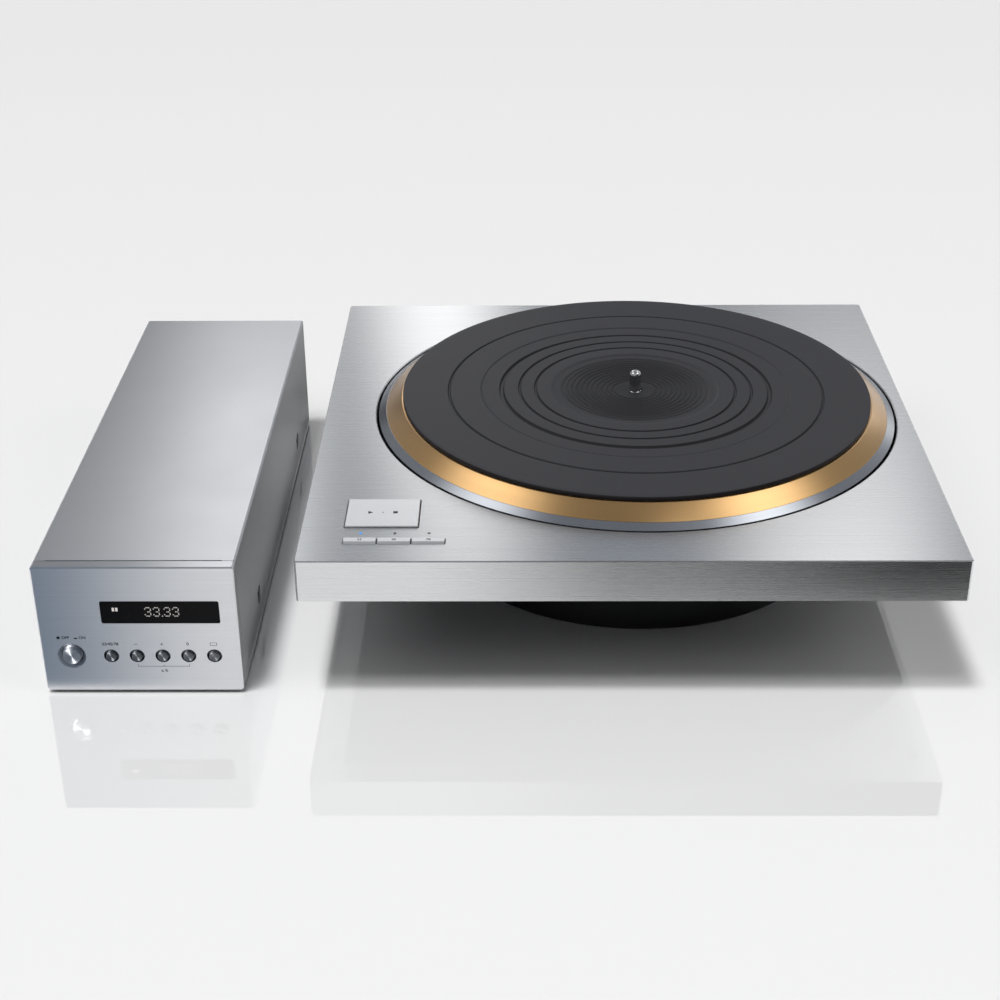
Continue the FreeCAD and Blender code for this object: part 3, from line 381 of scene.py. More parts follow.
def panel_pattern(tree):
    """Straight lines outside the cone round the mains button and rings inside it."""
    centre = tuple(middle("power_button"))
    lines, height, along = straight(length=90)(tree)
    rings = use(tree, turned_grain, Place=place_from(tree, centre, 90), Width=0.2 * mm)
    inside = maths(tree, "LESS_THAN", rings["Radius"], cone_radius)
    spoke = vectors(tree, "SUBTRACT", object_place(tree), centre)
    round_it = vectors(tree, "CROSS_PRODUCT", spoke, (0, 1, 0))
    return (mixed(tree, inside, lines, rings["Lines"]),
            mixed(tree, inside, height, rings["Height"]),
            mixed(tree, inside, along, round_it, "VECTOR"))


metal("front panel aluminium", (0.76, 0.77, 0.79), 0.30, panel_pattern, ["control_front_panel"],
      smear=0.75, tint=0.035, swing=0.015, relief=0.0003)
print("finished the front panel")

# %% [markdown]
# ## Cast and turned metals
#
# The casting, the hub and the bearing are turned all over, and the brass has the strongest shine of
# all, under a clear coat. Their axis is the platter's, which is the Z axis of the model.

# %% Finish the turned metals
metal("turned casting", (0.49, 0.51, 0.545), 0.24, lathe_turned(0.15),
      ["platter_body", "rotor_hub", "bearing_housing"], smear=0.7, tint=0.03, swing=0.02,
      relief=0.0005)
brass = metal("turned brass", (0.76, 0.45, 0.17), 0.31, lathe_turned(0.15), smear=0.4,
              tint=0.03, swing=0.02, relief=0.0003, Coat_Weight=1.0, Coat_Roughness=0.25)
steel = metal("polished steel", (0.74, 0.74, 0.74), 0.13, lathe_turned(0.15), tint=0.03,
              swing=0.03, relief=0.0005)
metal("sintered bronze", (0.55, 0.36, 0.18), 0.5, speckled(0.2), ["bearing_bushes"], tint=0.15)
print("finished the turned metals")

# %% [markdown]
# ## Paint, rubber and plastic
#
# The motor housing, the plate under the deck and the rear panel are painted satin black. Rubber is
# duller, and plastic has a little more gloss and a moulded texture.

# %% Finish the black pieces
black_plastic = (0.020, 0.020, 0.022)
finish("satin black paint", (0.008, 0.008, 0.009), 0.48, speckled(0.5),
       ["motor_housing", "lower_chassis", "motor_base_cover", "control_rear_panel"], tint=0.25,
       swing=0.07, Specular_IOR_Level=0.3)
finish("black rubber", (0.022, 0.022, 0.023), 0.75, speckled(0.3),
       ["damping_ring", "control_feet"], tint=0.3, swing=0.08, relief=0.02)
finish("black plastic", black_plastic, 0.45, speckled(0.25),
       ["encoder_sensor", "key_switches", "power_switch", "button_switches", "display_module"],
       tint=0.2, swing=0.08, relief=0.008)
finish("pale plastic", (0.72, 0.71, 0.66), 0.4, speckled(0.25), ["thrust_pad"], tint=0.04)
print("finished the black pieces")

# %% [markdown]
# ## Sockets with bright contacts
#
# Each socket is one node of black plastic with its pins inside. In a small box in the socket's
# mouth, which is open at the back, there is nothing but pins, so a mask of that box gives them the
# colour of plated contacts and a metallic surface.

# %% Finish the sockets
inside_box, given = group("inside a box", ["Place", "Low", "High"], [], ["Mask"])
tree = inside_box
above = vectors(tree, "SUBTRACT", given["Place"], given["Low"])
below = vectors(tree, "SUBTRACT", given["High"], given["Place"])
nearest = maths(tree, "MINIMUM", *apart(tree, vectors(tree, "MINIMUM", above, below)))
give(tree, Mask=maths(tree, "GREATER_THAN", nearest, 0.0))

gold_plate, tin_plate = (0.75, 0.62, 0.35), (0.62, 0.61, 0.58)
for name, node, mouth_depth, half_width, half_height, contact in [
        ("deck socket plastic", "deck_socket", 13.7, 6.0, 6.0, gold_plate),
        ("drive socket plastic", "drive_socket", 12.7, 6.0, 6.0, gold_plate),
        ("inlet plastic", "mains_inlet", 16.7, 10.5, 6.5, tin_plate)]:
    made = finish(name, black_plastic, 0.42, speckled(0.25), [node], tint=0.2, swing=0.08, relief=0.006)
    tree = made.node_tree
    centre = middle(node)
    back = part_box(node)[1].y
    reach_x, reach_z = half_width * mm, half_height * mm
    mask = use(tree, inside_box, Place=object_place(tree),
               Low=(centre[0] - reach_x, back - mouth_depth * mm, centre[2] - reach_z),
               High=(centre[0] + reach_x, back + mm, centre[2] + reach_z))["Mask"]
    overlay(made, mask, contact)
    tree.links.new(mask, tree.nodes["Principled BSDF"].inputs["Metallic"])
print("finished the sockets")

# %% [markdown]
# ## Inside the boxes
#
# Nothing inside shows while the covers are on, but each node has its finish, so that the model is
# right when it is opened. The supply board's parts, which stand above its own level, are dark.

# %% Finish the inner nodes
board_green = (0.025, 0.16, 0.065)
metal("plated steel", (0.47, 0.47, 0.48), 0.32, speckled(0.3),
      ["housing_screws", "bearing_screws", "key_board_screws", "platter_screws", "stator_posts",
       "encoder_disc"], tint=0.08, swing=0.06, relief=0.003)
metal("plain iron", (0.26, 0.26, 0.27), 0.45, lathe_turned(0.4),
      ["rotor_upper_yoke", "rotor_lower_yoke", "balance_weights"], tint=0.12, swing=0.06,
      relief=0.01)
metal("nickelled magnets", (0.60, 0.58, 0.54), 0.30, speckled(0.5),
      ["rotor_upper_magnets", "rotor_lower_magnets"], tint=0.08, swing=0.06, relief=0.005)
metal("zinc plated sheet", (0.55, 0.56, 0.55), 0.36, speckled(2.0), ["control_base"],
      tint=0.12, swing=0.08, relief=0.003)
metal("enamelled wire", (0.66, 0.30, 0.13), 0.30, lathe_turned(0.5), ["stator_coils"],
      tint=0.25, swing=0.08, relief=0.15)
finish("green lacquer", board_green, 0.28, speckled(0.6),
       ["stator_board", "key_board", "button_board"], tint=0.12, swing=0.06, relief=0.01,
       Coat_Weight=0.4)
finish("core wrap", (0.80, 0.62, 0.18), 0.45, lathe_turned(1.5), ["transformer"],
       tint=0.12, swing=0.1, relief=0.05)

supply = finish("supply board", board_green, 0.35, speckled(0.6), ["power_board"],
                tint=0.12, swing=0.06, relief=0.01)
tree = supply.node_tree
board_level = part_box("power_board")[0].z + 9.7 * mm
is_part = maths(tree, "GREATER_THAN", apart(tree, object_place(tree))[2], board_level)
overlay(supply, is_part, (0.05, 0.05, 0.06))
print("finished the inner nodes")

# %% [markdown]
# ## Window and lamps
#
# The display window is smoked glass: near black, with a low specular level, so that it stays black
# while the metal round it shines. The lamps are thin light rods in the deck. The lit one glows
# blue, and the others are dark with a paler rim.

# %% Finish the window and the lamps
finish("dark glass", (0.004, 0.004, 0.005), 0.12, speckled(1.5), ["display_window"],
       tint=0.2, swing=0.02, relief=0.0002, Specular_IOR_Level=0.1)
core_radius, rim_radius = 0.62 * mm, 0.85 * mm
dark_core, dark_rim = (0.02, 0.02, 0.022), (0.20, 0.20, 0.21)
for name, node, core_colour, rim_colour, glow in [
        ("lit lamp", "lamp_33", (0.03, 0.18, 0.40), (0.01, 0.19, 0.60), 1.0),
        ("dark lamp", "lamp_45", dark_core, dark_rim, 0.0),
        ("dark lamp at the end", "lamp_78", dark_core, dark_rim, 0.0)]:
    made = finish(name, core_colour, 0.25, speckled(0.3), [node], tint=0.1, swing=0.04, relief=0.001)
    tree = made.node_tree
    rings = use(tree, turned_grain, Place=place_from(tree, middle(node)), Width=0.1 * mm)
    rim = rescaled(tree, rings["Radius"], core_radius, rim_radius, curve="SMOOTHSTEP")
    surface = tree.nodes["Principled BSDF"].inputs
    tree.links.new(overlay(made, rim, rim_colour), surface["Emission Color"])
    surface["Emission Strength"].default_value = glow
print("finished the window and the lamps")

# %% [markdown]
# ## Surfaces from numbers
#
# A turned piece is a profile carried round an axis, so it is a surface with two parameters: how far
# along the profile, and the angle. Numpy works out all its points as one array. `rounded` first
# eases the profile's corners, because the small curve at an edge is what catches the light. `skin`
# puts the points into a mesh and closes it by merging points that coincide. A profile with both
# ends on the axis leaves one bare edge, which is taken out.

# %% Helpers for worked-out surfaces
def rounded(profile, cut, pieces=5):
    """Ease the corners of a closed outline. Each becomes a curve from start to end, `cut` away
    from the corner on both sides: (1 - t)^2 start + 2 t (1 - t) corner + t^2 end. A corner on
    the axis stays as it is."""
    corner = np.array(profile, float)
    cut = np.where(corner[:, 0] <= 0, 0.0, cut)
    sides = [np.roll(corner, way, axis=0) - corner for way in (1, -1)]
    start, end = [corner + side * np.minimum(cut / np.linalg.norm(side, axis=1), 0.45)[:, None]
                  for side in sides]
    t = np.linspace(0, 1, pieces)[None, :, None]
    curve = (1 - t) ** 2 * start[:, None] + 2 * t * (1 - t) * corner[:, None] + t ** 2 * end[:, None]
    return curve.reshape(-1, 2)


def turned(profile, steps, centre=(0, 0, 0), axis=(0, 0, 1), side=(1, 0, 0), hexagon=0):
    """A profile of (radius, height) carried round an axis: centre + radius * (cos angle * side +
    sin angle * other) + height * axis, where other is square to both. All in millimetres. Where
    `hexagon` is 1, the radius is that of a hexagon's corner, and each point lies at that times
    cos 30 degrees over the cosine of the angle from the nearest flat."""
    angle = np.linspace(0, 2 * np.pi, steps, endpoint=False)
    axis, side = np.array(axis, float), np.array(side, float)
    spokes = np.cos(angle)[:, None] * side + np.sin(angle)[:, None] * np.cross(axis, side)
    flats = math.cos(math.pi / 6) / np.cos(angle % (np.pi / 3) - np.pi / 6)
    radius, height = np.array(profile, float).T
    share = np.broadcast_to(hexagon, radius.shape)[:, None]
    reach = radius[:, None] * (1 + share * (flats - 1))
    return centre + reach[:, :, None] * spokes + height[:, None, None] * axis


def grid_faces(rows, columns):
    """Four-cornered faces between neighbours of a grid that closes on itself both ways."""
    here = np.arange(rows * columns).reshape(rows, columns)
    beside = np.roll(here, -1, axis=1)
    corners = [here, beside, np.roll(beside, -1, axis=0), np.roll(here, -1, axis=0)]
    return np.stack(corners, axis=-1).reshape(-1, 4)


def make_piece(name, parts, material, body, slot, stands_for=(), crease=30, merge=0.0):
    """Make one piece from parts, each with its points in millimetres and its faces. Points
    closer than `merge` metres are joined. The faces are turned outwards and shaded smooth up to
    the crease angle, and the piece is tied to its CAD body."""
    first = np.cumsum([0] + [len(points) for points, _ in parts[:-1]])
    faces = [[int(corner + start) for corner in face]
             for (_, part_faces), start in zip(parts, first) for face in part_faces]
    mesh = bpy.data.meshes.new(name)
    mesh.from_pydata((np.concatenate([points for points, _ in parts]) * mm).tolist(), [], faces)
    shape = bmesh.new()
    shape.from_mesh(mesh)
    if merge:
        bmesh.ops.remove_doubles(shape, verts=shape.verts, dist=merge)
        loose = [edge for edge in shape.edges if not edge.link_faces]
        bmesh.ops.delete(shape, geom=loose, context="EDGES")
    bmesh.ops.recalc_face_normals(shape, faces=shape.faces)
    open_edges = sum(not edge.is_manifold for edge in shape.edges)
    shape.to_mesh(mesh)
    shape.free()
    print(name, "faces", len(mesh.polygons), "open edges", open_edges)
    mesh.shade_smooth()
    mesh.set_sharp_from_angle(angle=math.radians(crease))
    mesh.materials.append(material)
    piece = bpy.data.objects.new(name, mesh)
    scene.collection.objects.link(piece)
    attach(piece, body)
    if stands_for:
        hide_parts(*stands_for)
    return piece


def skin(name, grids, *rest, crease=25):
    """Make one piece from grids of points, each closed on itself both ways."""
    parts = [(grid.reshape(-1, 3), grid_faces(*grid.shape[:2])) for grid in grids]
    return make_piece(name, parts, *rest, crease=crease, merge=1e-7)


# %% [markdown]
# ## The brass layer
#
# The brass is a disc with a wide cone for its edge. The light runs along the cone's two edges as
# thin bright lines, so they are rounded by a third of a millimetre.

# %% Make the brass layer
centre_hole, brass_top, brass_foot = 4.0, 96.0, 88.6
brass_outline = [(centre_hole, brass_foot), (156.9, brass_foot), (147.0, brass_top),
                 (centre_hole, brass_top)]
skin("brass_layer", [turned(rounded(brass_outline, 0.35), 360)], brass, "platter", "turned_brass",
     ["brass_plate"])

# %% [markdown]
# ## The rubber mat
#
# The mat's top is a height that depends on the radius alone: grooves, a shallow trough, a step down
# to the label area and a dish of fine ripples are each taken off a level top. The radii are sampled
# closely at these features and widely between them.

# %% Work out the mat
mat_top, mat_radius = 98.9, 146.0
dish_radius, ripple_end, ripple_pitch = 47.0, 12.35, 3.15
trough_rim, trough_end, label_edge = (97.2, 96.0), (85.2, 84.0), (53.0, 50.5)
trough_depth, label_step, dish_depth, dish_width, ripple_height = 0.35, 0.7, 1.1, 43.0, 0.42
grooves = [(117.0, 0.85, 1.4), (96.6, 0.7, 0.35), (84.0, 1.5, 2.0), (72.7, 0.95, 1.5),
           (62.7, 0.95, 1.5)]


def groove(radius, centre, half, depth):
    """A groove with steep sides: depth (1 - s^4), where s is the share of the half width."""
    share = np.clip(np.abs(radius - centre) / half, 0, 1)
    return depth * (1 - share ** 4)


def slope(radius, outer, inner):
    """0 outside the outer radius and 1 inside the inner one, easing in and out between."""
    share = np.clip((outer - radius) / (outer - inner), 0, 1)
    return share * share * (3 - 2 * share)


def mat_height(radius):
    """The level top, less grooves, trough, label step, dish and ripples."""
    lowered = sum(groove(radius, *shape) for shape in grooves)
    lowered += trough_depth * (slope(radius, *trough_rim) - slope(radius, *trough_end))
    lowered += label_step * slope(radius, *label_edge)
    inwards = dish_radius - radius
    lowered += dish_depth * np.clip(inwards / dish_width, 0, 1)
    ripples = ripple_height * (1 - np.cos(inwards / ripple_pitch * 2 * np.pi))
    lowered += np.where((inwards > 0) & (radius > ripple_end), ripples, 0.0)
    return mat_top - lowered


land = np.arange(6.0, 145.0, 3.5)
close_rings = [np.linspace(centre - 1.6, centre + 1.6, 17) for centre, _, _ in grooves]
radii = np.concatenate([land, *close_rings, np.linspace(*label_edge[::-1], 6),
                        np.arange(ripple_end, dish_radius + 0.01, ripple_pitch / 8),
                        [centre_hole, ripple_end - 0.05, dish_radius + 0.05]])
radii = np.unique(radii)[::-1]
rim = rounded([(mat_radius, brass_top), (mat_radius, mat_top), (145.0, mat_top)], 0.6)[5:10]
foot = [(centre_hole, brass_top), (mat_radius - 0.2, brass_top), (mat_radius, brass_top + 0.2)]
mat_outline = np.concatenate([foot, rim, np.column_stack([radii, mat_height(radii)])])
print("mat outline points", len(mat_outline))

# %% [markdown]
# The rubber is dark grey and dull, with painted shade that darkens it towards the label. Its specular
# level is low, so that the far side, which is seen at a low angle, stays as dark as the near one.

# %% Make the mat
def moulded(tree):
    """The speckle of moulded rubber, with painted shade: its tone falls towards the label, where the
    ripples' shade is painted on."""
    place = object_place(tree)
    grain = use(tree, fine_speckle, Place=place, Size=0.4 * mm)
    flat = step(tree, "Mapping", {"Vector": place, "Scale": (1, 1, 0)})[0]
    radius = vectors(tree, "LENGTH", flat, output="Value")
    # Painted shade: the tone drops towards the label and stands in for the ripples' shading.
    outside = rescaled(tree, radius, 36 * mm, 53 * mm, 0.05, 0.6)
    speckle = rescaled(tree, grain["Speckle"], 0, 1, 0.85, 1.15)
    return maths(tree, "MULTIPLY", outside, speckle), grain["Height"]


mat_rubber_painted_shade = finish("grooved rubber", (0.033, 0.033, 0.037), 0.5, moulded, tint=0.35,
                    swing=0.04, relief=0.008, Specular_IOR_Level=0.15)
skin("rubber_mat", [turned(mat_outline, 360)], mat_rubber_painted_shade, "platter", "grooved_rubber",
     ["record_mat"], crease=60)

# %% [markdown]
# ## The spindle
#
# The spindle and the shaft that runs in the bearing are one turned profile. The tip is a quarter
# circle that meets a small flat at the top.

# %% Make the spindle
spindle_radius, spindle_top, tip_radius = 3.58, 110.5, 2.68
quarter = np.linspace(0, np.pi / 2, 14)
tip = np.column_stack([spindle_radius - tip_radius + tip_radius * np.cos(quarter),
                       spindle_top - tip_radius + tip_radius * np.sin(quarter)])
shaft_outline = np.concatenate([
    [(0, 13.1), (5.0, 13.1), (6.0, 14.1), (6.0, 64.6), (8.0, 64.6), (8.0, 87.6), (3.75, 87.6),
     (3.75, 97.1), (spindle_radius, 97.25)], tip, [(0, spindle_top)]])
skin("spindle", [turned(shaft_outline, 64)], steel, "platter", "polished_steel", ["spindle_shaft"])

# %% [markdown]
# ## Spun buttons
#
# The buttons' faces were spun against an abrasive, so each shows two bright wedges that meet in the
# middle. The profile turns about an axis that points out of the panel: stem, flange, cap, a
# narrower neck that leaves a dark ring in the panel's hole, a rounded rim and a slightly hollow
# face. The wedges come from the turned pattern, a strong smear and a small soft box that lights
# nothing else.

# %% Make the buttons
def button_outline(cap_radius, neck, rim, cap_depth, stem_radius, stem_end, flange=()):
    """A button's profile from the end of its stem to the middle of its face. Heights are in
    front of the panel. The face's height is edge - hollow (1 - s^2), where s is the share of
    its radius. A flange is given by its radius and its back."""
    edge_height, hollow, neck_foot = 1.2, 0.3, -2.2
    stem = [(0, -stem_end), (stem_radius, -stem_end)]
    if flange:
        flange_radius, flange_back = flange
        stem += [(stem_radius, -flange_back), (flange_radius, -flange_back)]
    stem += [(stem[-1][0], -cap_depth), (cap_radius, -cap_depth), (cap_radius, neck_foot),
             (neck, neck_foot)]
    angle = np.linspace(0, np.pi / 2, 9)
    edge = np.column_stack([neck - rim + rim * np.cos(angle),
                            edge_height - rim + rim * np.sin(angle)])
    share = np.linspace(1, 0, 9)[1:]
    face = np.column_stack([(neck - rim) * share, edge_height - hollow * (1 - share ** 2)])
    return np.concatenate([stem, edge, face])


power_cap = button_outline(cap_radius=5.6, neck=5.0, rim=0.7, cap_depth=9.0, stem_radius=3.0,
                           stem_end=21.5)
small_cap = button_outline(cap_radius=3.5, neck=2.9, rim=0.4, cap_depth=7.7, stem_radius=1.5,
                           stem_end=10.1, flange=(4.8, 8.9))
# The small buttons' steel is a darker copy of the mains button's: painted shade that stands for the
# dark reflections in their faces.
pale_steel, shade_painted_steel = (0.46, 0.475, 0.50), (0.17, 0.178, 0.19)
small_buttons = ["button_speed", "button_minus", "button_plus", "button_reset", "button_display"]
button_caps = bpy.data.collections.new("button caps")
for node in ["power_button"] + small_buttons:
    outline, colour = (small_cap, shade_painted_steel) if node in small_buttons else (power_cap, pale_steel)
    x, _, z = middle(node) / mm
    grid = turned(outline, 72, (x, panel_front, z), axis=(0, -1, 0))
    spun = metal("spun " + node.replace("_", " "), colour, 0.48,
                 lathe_turned(0.12, middle(node), "Y"), smear=0.88, swing=0.04, relief=0.001)
    button_caps.objects.link(skin(node + "_cap", [grid], spun, node, "turned_steel", [node]))

# %% [markdown]
# ## Socket screws
#
# Each screw is a turned piece whose profile starts as a hexagon, in the socket, and ends as a
# circle: a third number says how much of a hexagon each ring still is.

# %% Make the screws
def screw_stations(head, head_height, shank, length, socket, socket_depth, countersunk=False):
    """The (radius, height, share of hexagon) of each ring of a screw whose head's face is at
    height 0: socket, face, head and shank."""
    face = [(0, -socket_depth, 1), (socket, -socket_depth, 1), (socket, -0.12, 1),
            (socket + 0.15, 0, 0.8), (head - 0.25, 0, 0), (head, -0.2, 0)]
    under = [] if countersunk else [(head, -head_height, 0)]
    return face + under + [(shank, -head_height, 0), (shank, -length + 0.4, 0),
                           (shank - 0.4, -length, 0), (0, -length, 0)]


dark_steel = metal("blackened steel", (0.10, 0.10, 0.105), 0.36, speckled(0.2), tint=0.15, swing=0.06)


def screw_set(name, node, body, screws, **sizes):
    """Make one piece of equal screws, each given by its place and the way that it looks."""
    stations = np.array(screw_stations(**sizes))
    skin(name, [turned(stations[:, :2], 48, *screw, hexagon=stations[:, 2]) for screw in screws],
         dark_steel, body, "screw_steel", [node], crease=20)


wall_inset, head_depth, cover_screw_level = 2.2, 1.7, 19.6
head_left = unit_left + wall_inset - head_depth
head_right = unit_right - wall_inset + head_depth
screw_set("cover_screw_set", "cover_screws", "control_unit",
          [((x, panel_front + depth, cover_screw_level), (way, 0, 0), (0, 1, 0))
           for depth in (74.1, 277.8) for x, way in ((head_left, -1), (head_right, 1))],
          head=4.9, head_height=head_depth, shank=2.0, length=8.7, socket=1.75, socket_depth=1.3)

chassis_face, can_foot, base_circle, downwards = 61.0, 1.5, 111, (0, 0, -1)
chassis_places = [(-169.5, -40.0), (-169.5, 60.0), (-100.0, -168.0), (0.0, -169.5),
                  (95.0, -150.0), (140.0, -105.0), (125.0, 125.0), (-130.0, 130.0)]
screw_set("chassis_screw_set", "chassis_screws", "deck",
          [((x, y, chassis_face), downwards) for x, y in chassis_places], head=4.0, head_height=2.0,
          shank=2.0, length=14.0, socket=1.45, socket_depth=1.2, countersunk=True)
screw_set("base_screw_set", "base_cover_screws", "deck",
          [((base_circle * np.cos(angle), base_circle * np.sin(angle), can_foot), downwards)
           for angle in np.radians(np.arange(6) * 60)], head=3.0, head_height=1.5, shank=1.5,
          length=6.5, socket=1.15, socket_depth=1.0, countersunk=True)

# %% [markdown]
# ## Printed marks
#
# The marks are ink a few hundredths of a millimetre thick. Numbers and words start as text objects,
# which Blender turns into a mesh, and simple shapes as an outline. Both are flat drawings that are
# laid on a face afterwards: "up" for the keys and "front" for the panel.

# %% Helpers for marks
ink_depth = 0.03


def lettering(words, height):
    """The points and faces of a text whose capitals are `height` mm tall, about its middle."""
    drawing = bpy.data.curves.new("drawing", "FONT")
    drawing.body = words
    drawing.align_x = "CENTER"
    drawing.align_y = "CENTER"
    drawing.size = height / 0.73
    drawing.extrude = ink_depth / 2
    drawing.resolution_u = 4
    drawing.offset = 0.03 * height
    holder = bpy.data.objects.new("drawing", drawing)
    scene.collection.objects.link(holder)
    bpy.context.view_layer.update()
    mesh = bpy.data.meshes.new_from_object(holder.evaluated_get(
        bpy.context.evaluated_depsgraph_get()))
    bpy.data.objects.remove(holder)
    return (np.array([tuple(vertex.co) for vertex in mesh.vertices]),
            [tuple(face.vertices) for face in mesh.polygons])


def flat_mark(outline):
    """The points and faces of a flat shape from its outline of (across, up) in mm."""
    flat = np.array(outline, float)
    count = len(flat)
    back = np.column_stack([flat, np.full(count, -ink_depth / 2)])
    front = np.column_stack([flat, np.full(count, ink_depth / 2)])
    index = np.arange(count)
    after = (index + 1) % count
    sides = np.column_stack([index, after, after + count, index + count]).tolist()
    return np.concatenate([back, front]), [list(index[::-1]), list(index + count)] + sides


def bar(left, right, low, high):
    """A rectangle."""
    return flat_mark([(left, low), (right, low), (right, high), (left, high)])


def dot(radius, stretch=1.0, corners=8):
    """A round dot, stretched upwards."""
    angle = np.arange(corners) * 2 * np.pi / corners
    return flat_mark(np.column_stack([radius * np.cos(angle), radius * stretch * np.sin(angle)]))


def laid(drawing, centre, facing):
    """Lay a flat drawing on a level face or on the front panel. `centre` is in mm."""
    points, faces = drawing
    across, rise, out = points.T
    axes = [across, rise, out] if facing == "up" else [across, -out, rise]
    return np.column_stack(axes) + centre, faces


# %% [markdown]
# ## Marks on the keys
#
# The wide key says start and stop with a triangle, a dot and a square. Each narrow key carries the
# speed that it sets.

# %% Print the keys
ink = finish("grey ink", (0.016, 0.017, 0.020), 0.5, speckled(0.1), tint=0.2, relief=0.002)
ink_sink = 0.01
key_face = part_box("start_stop_key")[1].z / mm + ink_depth / 2 - ink_sink
start_x, start_y = middle("start_stop_key")[:2] / mm
triangle = flat_mark([(-1.3, -1.5), (1.5, 0.0), (-1.3, 1.5)])
signs = [(triangle, -7.0), (dot(0.4), 0.0), (bar(-1.25, 1.25, -1.25, 1.25), 7.0)]
marks = [laid(sign, (start_x + shift, start_y, key_face), "up") for sign, shift in signs]
make_piece("start_marks", marks, ink, "start_stop_key", "black_plastic")
for speed in ("33", "45", "78"):
    node = "speed_key_" + speed
    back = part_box(node)[1].y / mm
    strip = (middle(node)[0] / mm, back - 2.1, key_face)
    make_piece("speed_mark_" + speed, [laid(lettering(speed, 1.9), strip, "up")], ink, node,
               "black_plastic")

# %% [markdown]
# ## Marks on the front panel
#
# Over the mains button are the signs for off and on, over the small buttons the three speeds,
# minus, plus, zero and a screen, and under the middle three a bracket for the fine setting in
# percent.

# %% Print the panel
panel_ink = finish("panel ink", (0.010, 0.011, 0.013), 0.5, speckled(0.1), tint=0.2, relief=0.002)
pale_ink = finish("pale panel ink", (0.07, 0.072, 0.08), 0.5, speckled(0.1), tint=0.15, relief=0.002)
panel_corner = np.array([unit_left, panel_front - ink_depth / 2 + ink_sink, unit_bottom])


def print_on_panel(name, material, rows):
    """Print rows of (drawing, across, up), in millimetres from the panel's lower left corner."""
    parts = [laid(drawing, panel_corner + (x, 0, z), "front") for drawing, x, z in rows]
    make_piece(name, parts, material, "control_unit", "black_plastic")


speeds_x, minus_x, plus_x, reset_x, display_x = [middle(node)[0] / mm - unit_left
                                                 for node in small_buttons]
switch_line, line, bracket_line = 35.1, 30.9, 16.3
print_on_panel("panel_marks", panel_ink, [
    (bar(-0.85, 0.85, -0.85, 0.85), 10.3, switch_line),
    (lettering("OFF", 1.8), 14.3, switch_line),
    (bar(-0.95, 0.95, -0.8, 0.0), 19.9, switch_line),
    (lettering("ON", 1.8), 23.6, switch_line),
    (lettering("33/45/78", 1.9), speeds_x, line),
    (bar(-1.0, 1.0, -0.15, 0.15), minus_x, line),
    (bar(-0.9, 0.9, -0.15, 0.15), plus_x, line),
    (bar(-0.15, 0.15, -0.9, 0.9), plus_x, line),
    (lettering("0", 2.0), reset_x, line),
    (bar(-1.9, 1.9, -0.95, -0.70), display_x, line),
    (bar(-1.9, 1.9, 0.70, 0.95), display_x, line),
    (bar(-1.9, -1.65, -0.70, 0.70), display_x, line),
    (bar(1.65, 1.9, -0.70, 0.70), display_x, line)])
print_on_panel("bracket_marks", pale_ink, [
    (bar(minus_x, reset_x, -0.13, 0.13), 0, bracket_line),
    (bar(-0.13, 0.13, 0.13, 1.5), minus_x + 0.13, bracket_line),
    (bar(-0.13, 0.13, 0.13, 1.0), plus_x, bracket_line),
    (bar(-0.13, 0.13, 0.13, 1.5), reset_x - 0.13, bracket_line),
    (lettering("± %", 1.8), plus_x, 13.4)])

# %% [markdown]
# ## The display
#
# The display is a grid of softly glowing dots behind the glass. A figure is drawn on five by seven
# dots, as a short list of strings that numpy turns into the places of the lit ones, and a pause
# sign stands at the left. The dots are small eight-sided pads, because there are many of them.

# %% Make the display's dots
three = ["01110", "10001", "00001", "00110", "00001", "10001", "01110"]
rows_lit, columns_lit = np.nonzero([[sign == "1" for sign in row] for row in three])
dot_across, dot_up = 0.76, 0.90
figure = np.column_stack([columns_lit * dot_across, (6 - rows_lit) * dot_up])
glass_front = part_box("display_window")[0].y / mm
first_dot, first_level, pause_rise = 60.1, 50.55, 4.2
display_corner = np.array([unit_left + first_dot, glass_front - ink_depth / 2, first_level])
figure_shifts, point_shift, pause_shifts = (0.0, 4.7, 10.6, 15.3), 9.3, (-17.5, -15.6)
dots = np.concatenate([figure + (shift, 0) for shift in figure_shifts] + [[(point_shift, 0.0)]])
signs = [(dot(0.30, 1.1), across, rise) for across, rise in dots]
signs += [(bar(-0.65, 0.65, -1.15, 1.15), shift, pause_rise) for shift in pause_shifts]
light_dots = finish("light dots", (0.50, 0.47, 0.45), 0.4, speckled(0.2), tint=0.1,
                    relief=0.001, Emission_Strength=0.42, Emission_Color=(0.85, 0.80, 0.77, 1))
make_piece("display_dots", [laid(sign, display_corner + (across, 0, rise), "front")
                            for sign, across, rise in signs],
           light_dots, "control_unit", "white_plastic")

# %% [markdown]
# ## Floor and world
#
# The pair stands on a glossy pale floor that shows a faint mirror image of it, and whose paint darkens
# towards the back as painted shade for light falling off. Its reflection is perfectly sharp, so its
# rays are singular ones. The world answers those, and the camera's, with an even pale colour, and keeps
# its darker and brighter sides for the soft reflections in the metal.

# %% Make the floor and the world
def sheet(name, half_width, half_height):
    """A flat object from four corners about its own middle."""
    mesh = bpy.data.meshes.new(name)
    corners = [(-1, -1), (1, -1), (1, 1), (-1, 1)]
    mesh.from_pydata([(x * half_width, y * half_height, 0) for x, y in corners], [],
                     [(0, 1, 2, 3)])
    made = bpy.data.objects.new(name, mesh)
    scene.collection.objects.link(made)
    paint = bpy.data.materials.new(name)
    paint.use_nodes = True
    mesh.materials.append(paint)
    return made, paint


floor_reach = 9.0
floor, floor_paint = sheet("floor", floor_reach, floor_reach)
tree = floor_paint.node_tree
surface = tree.nodes["Principled BSDF"].inputs
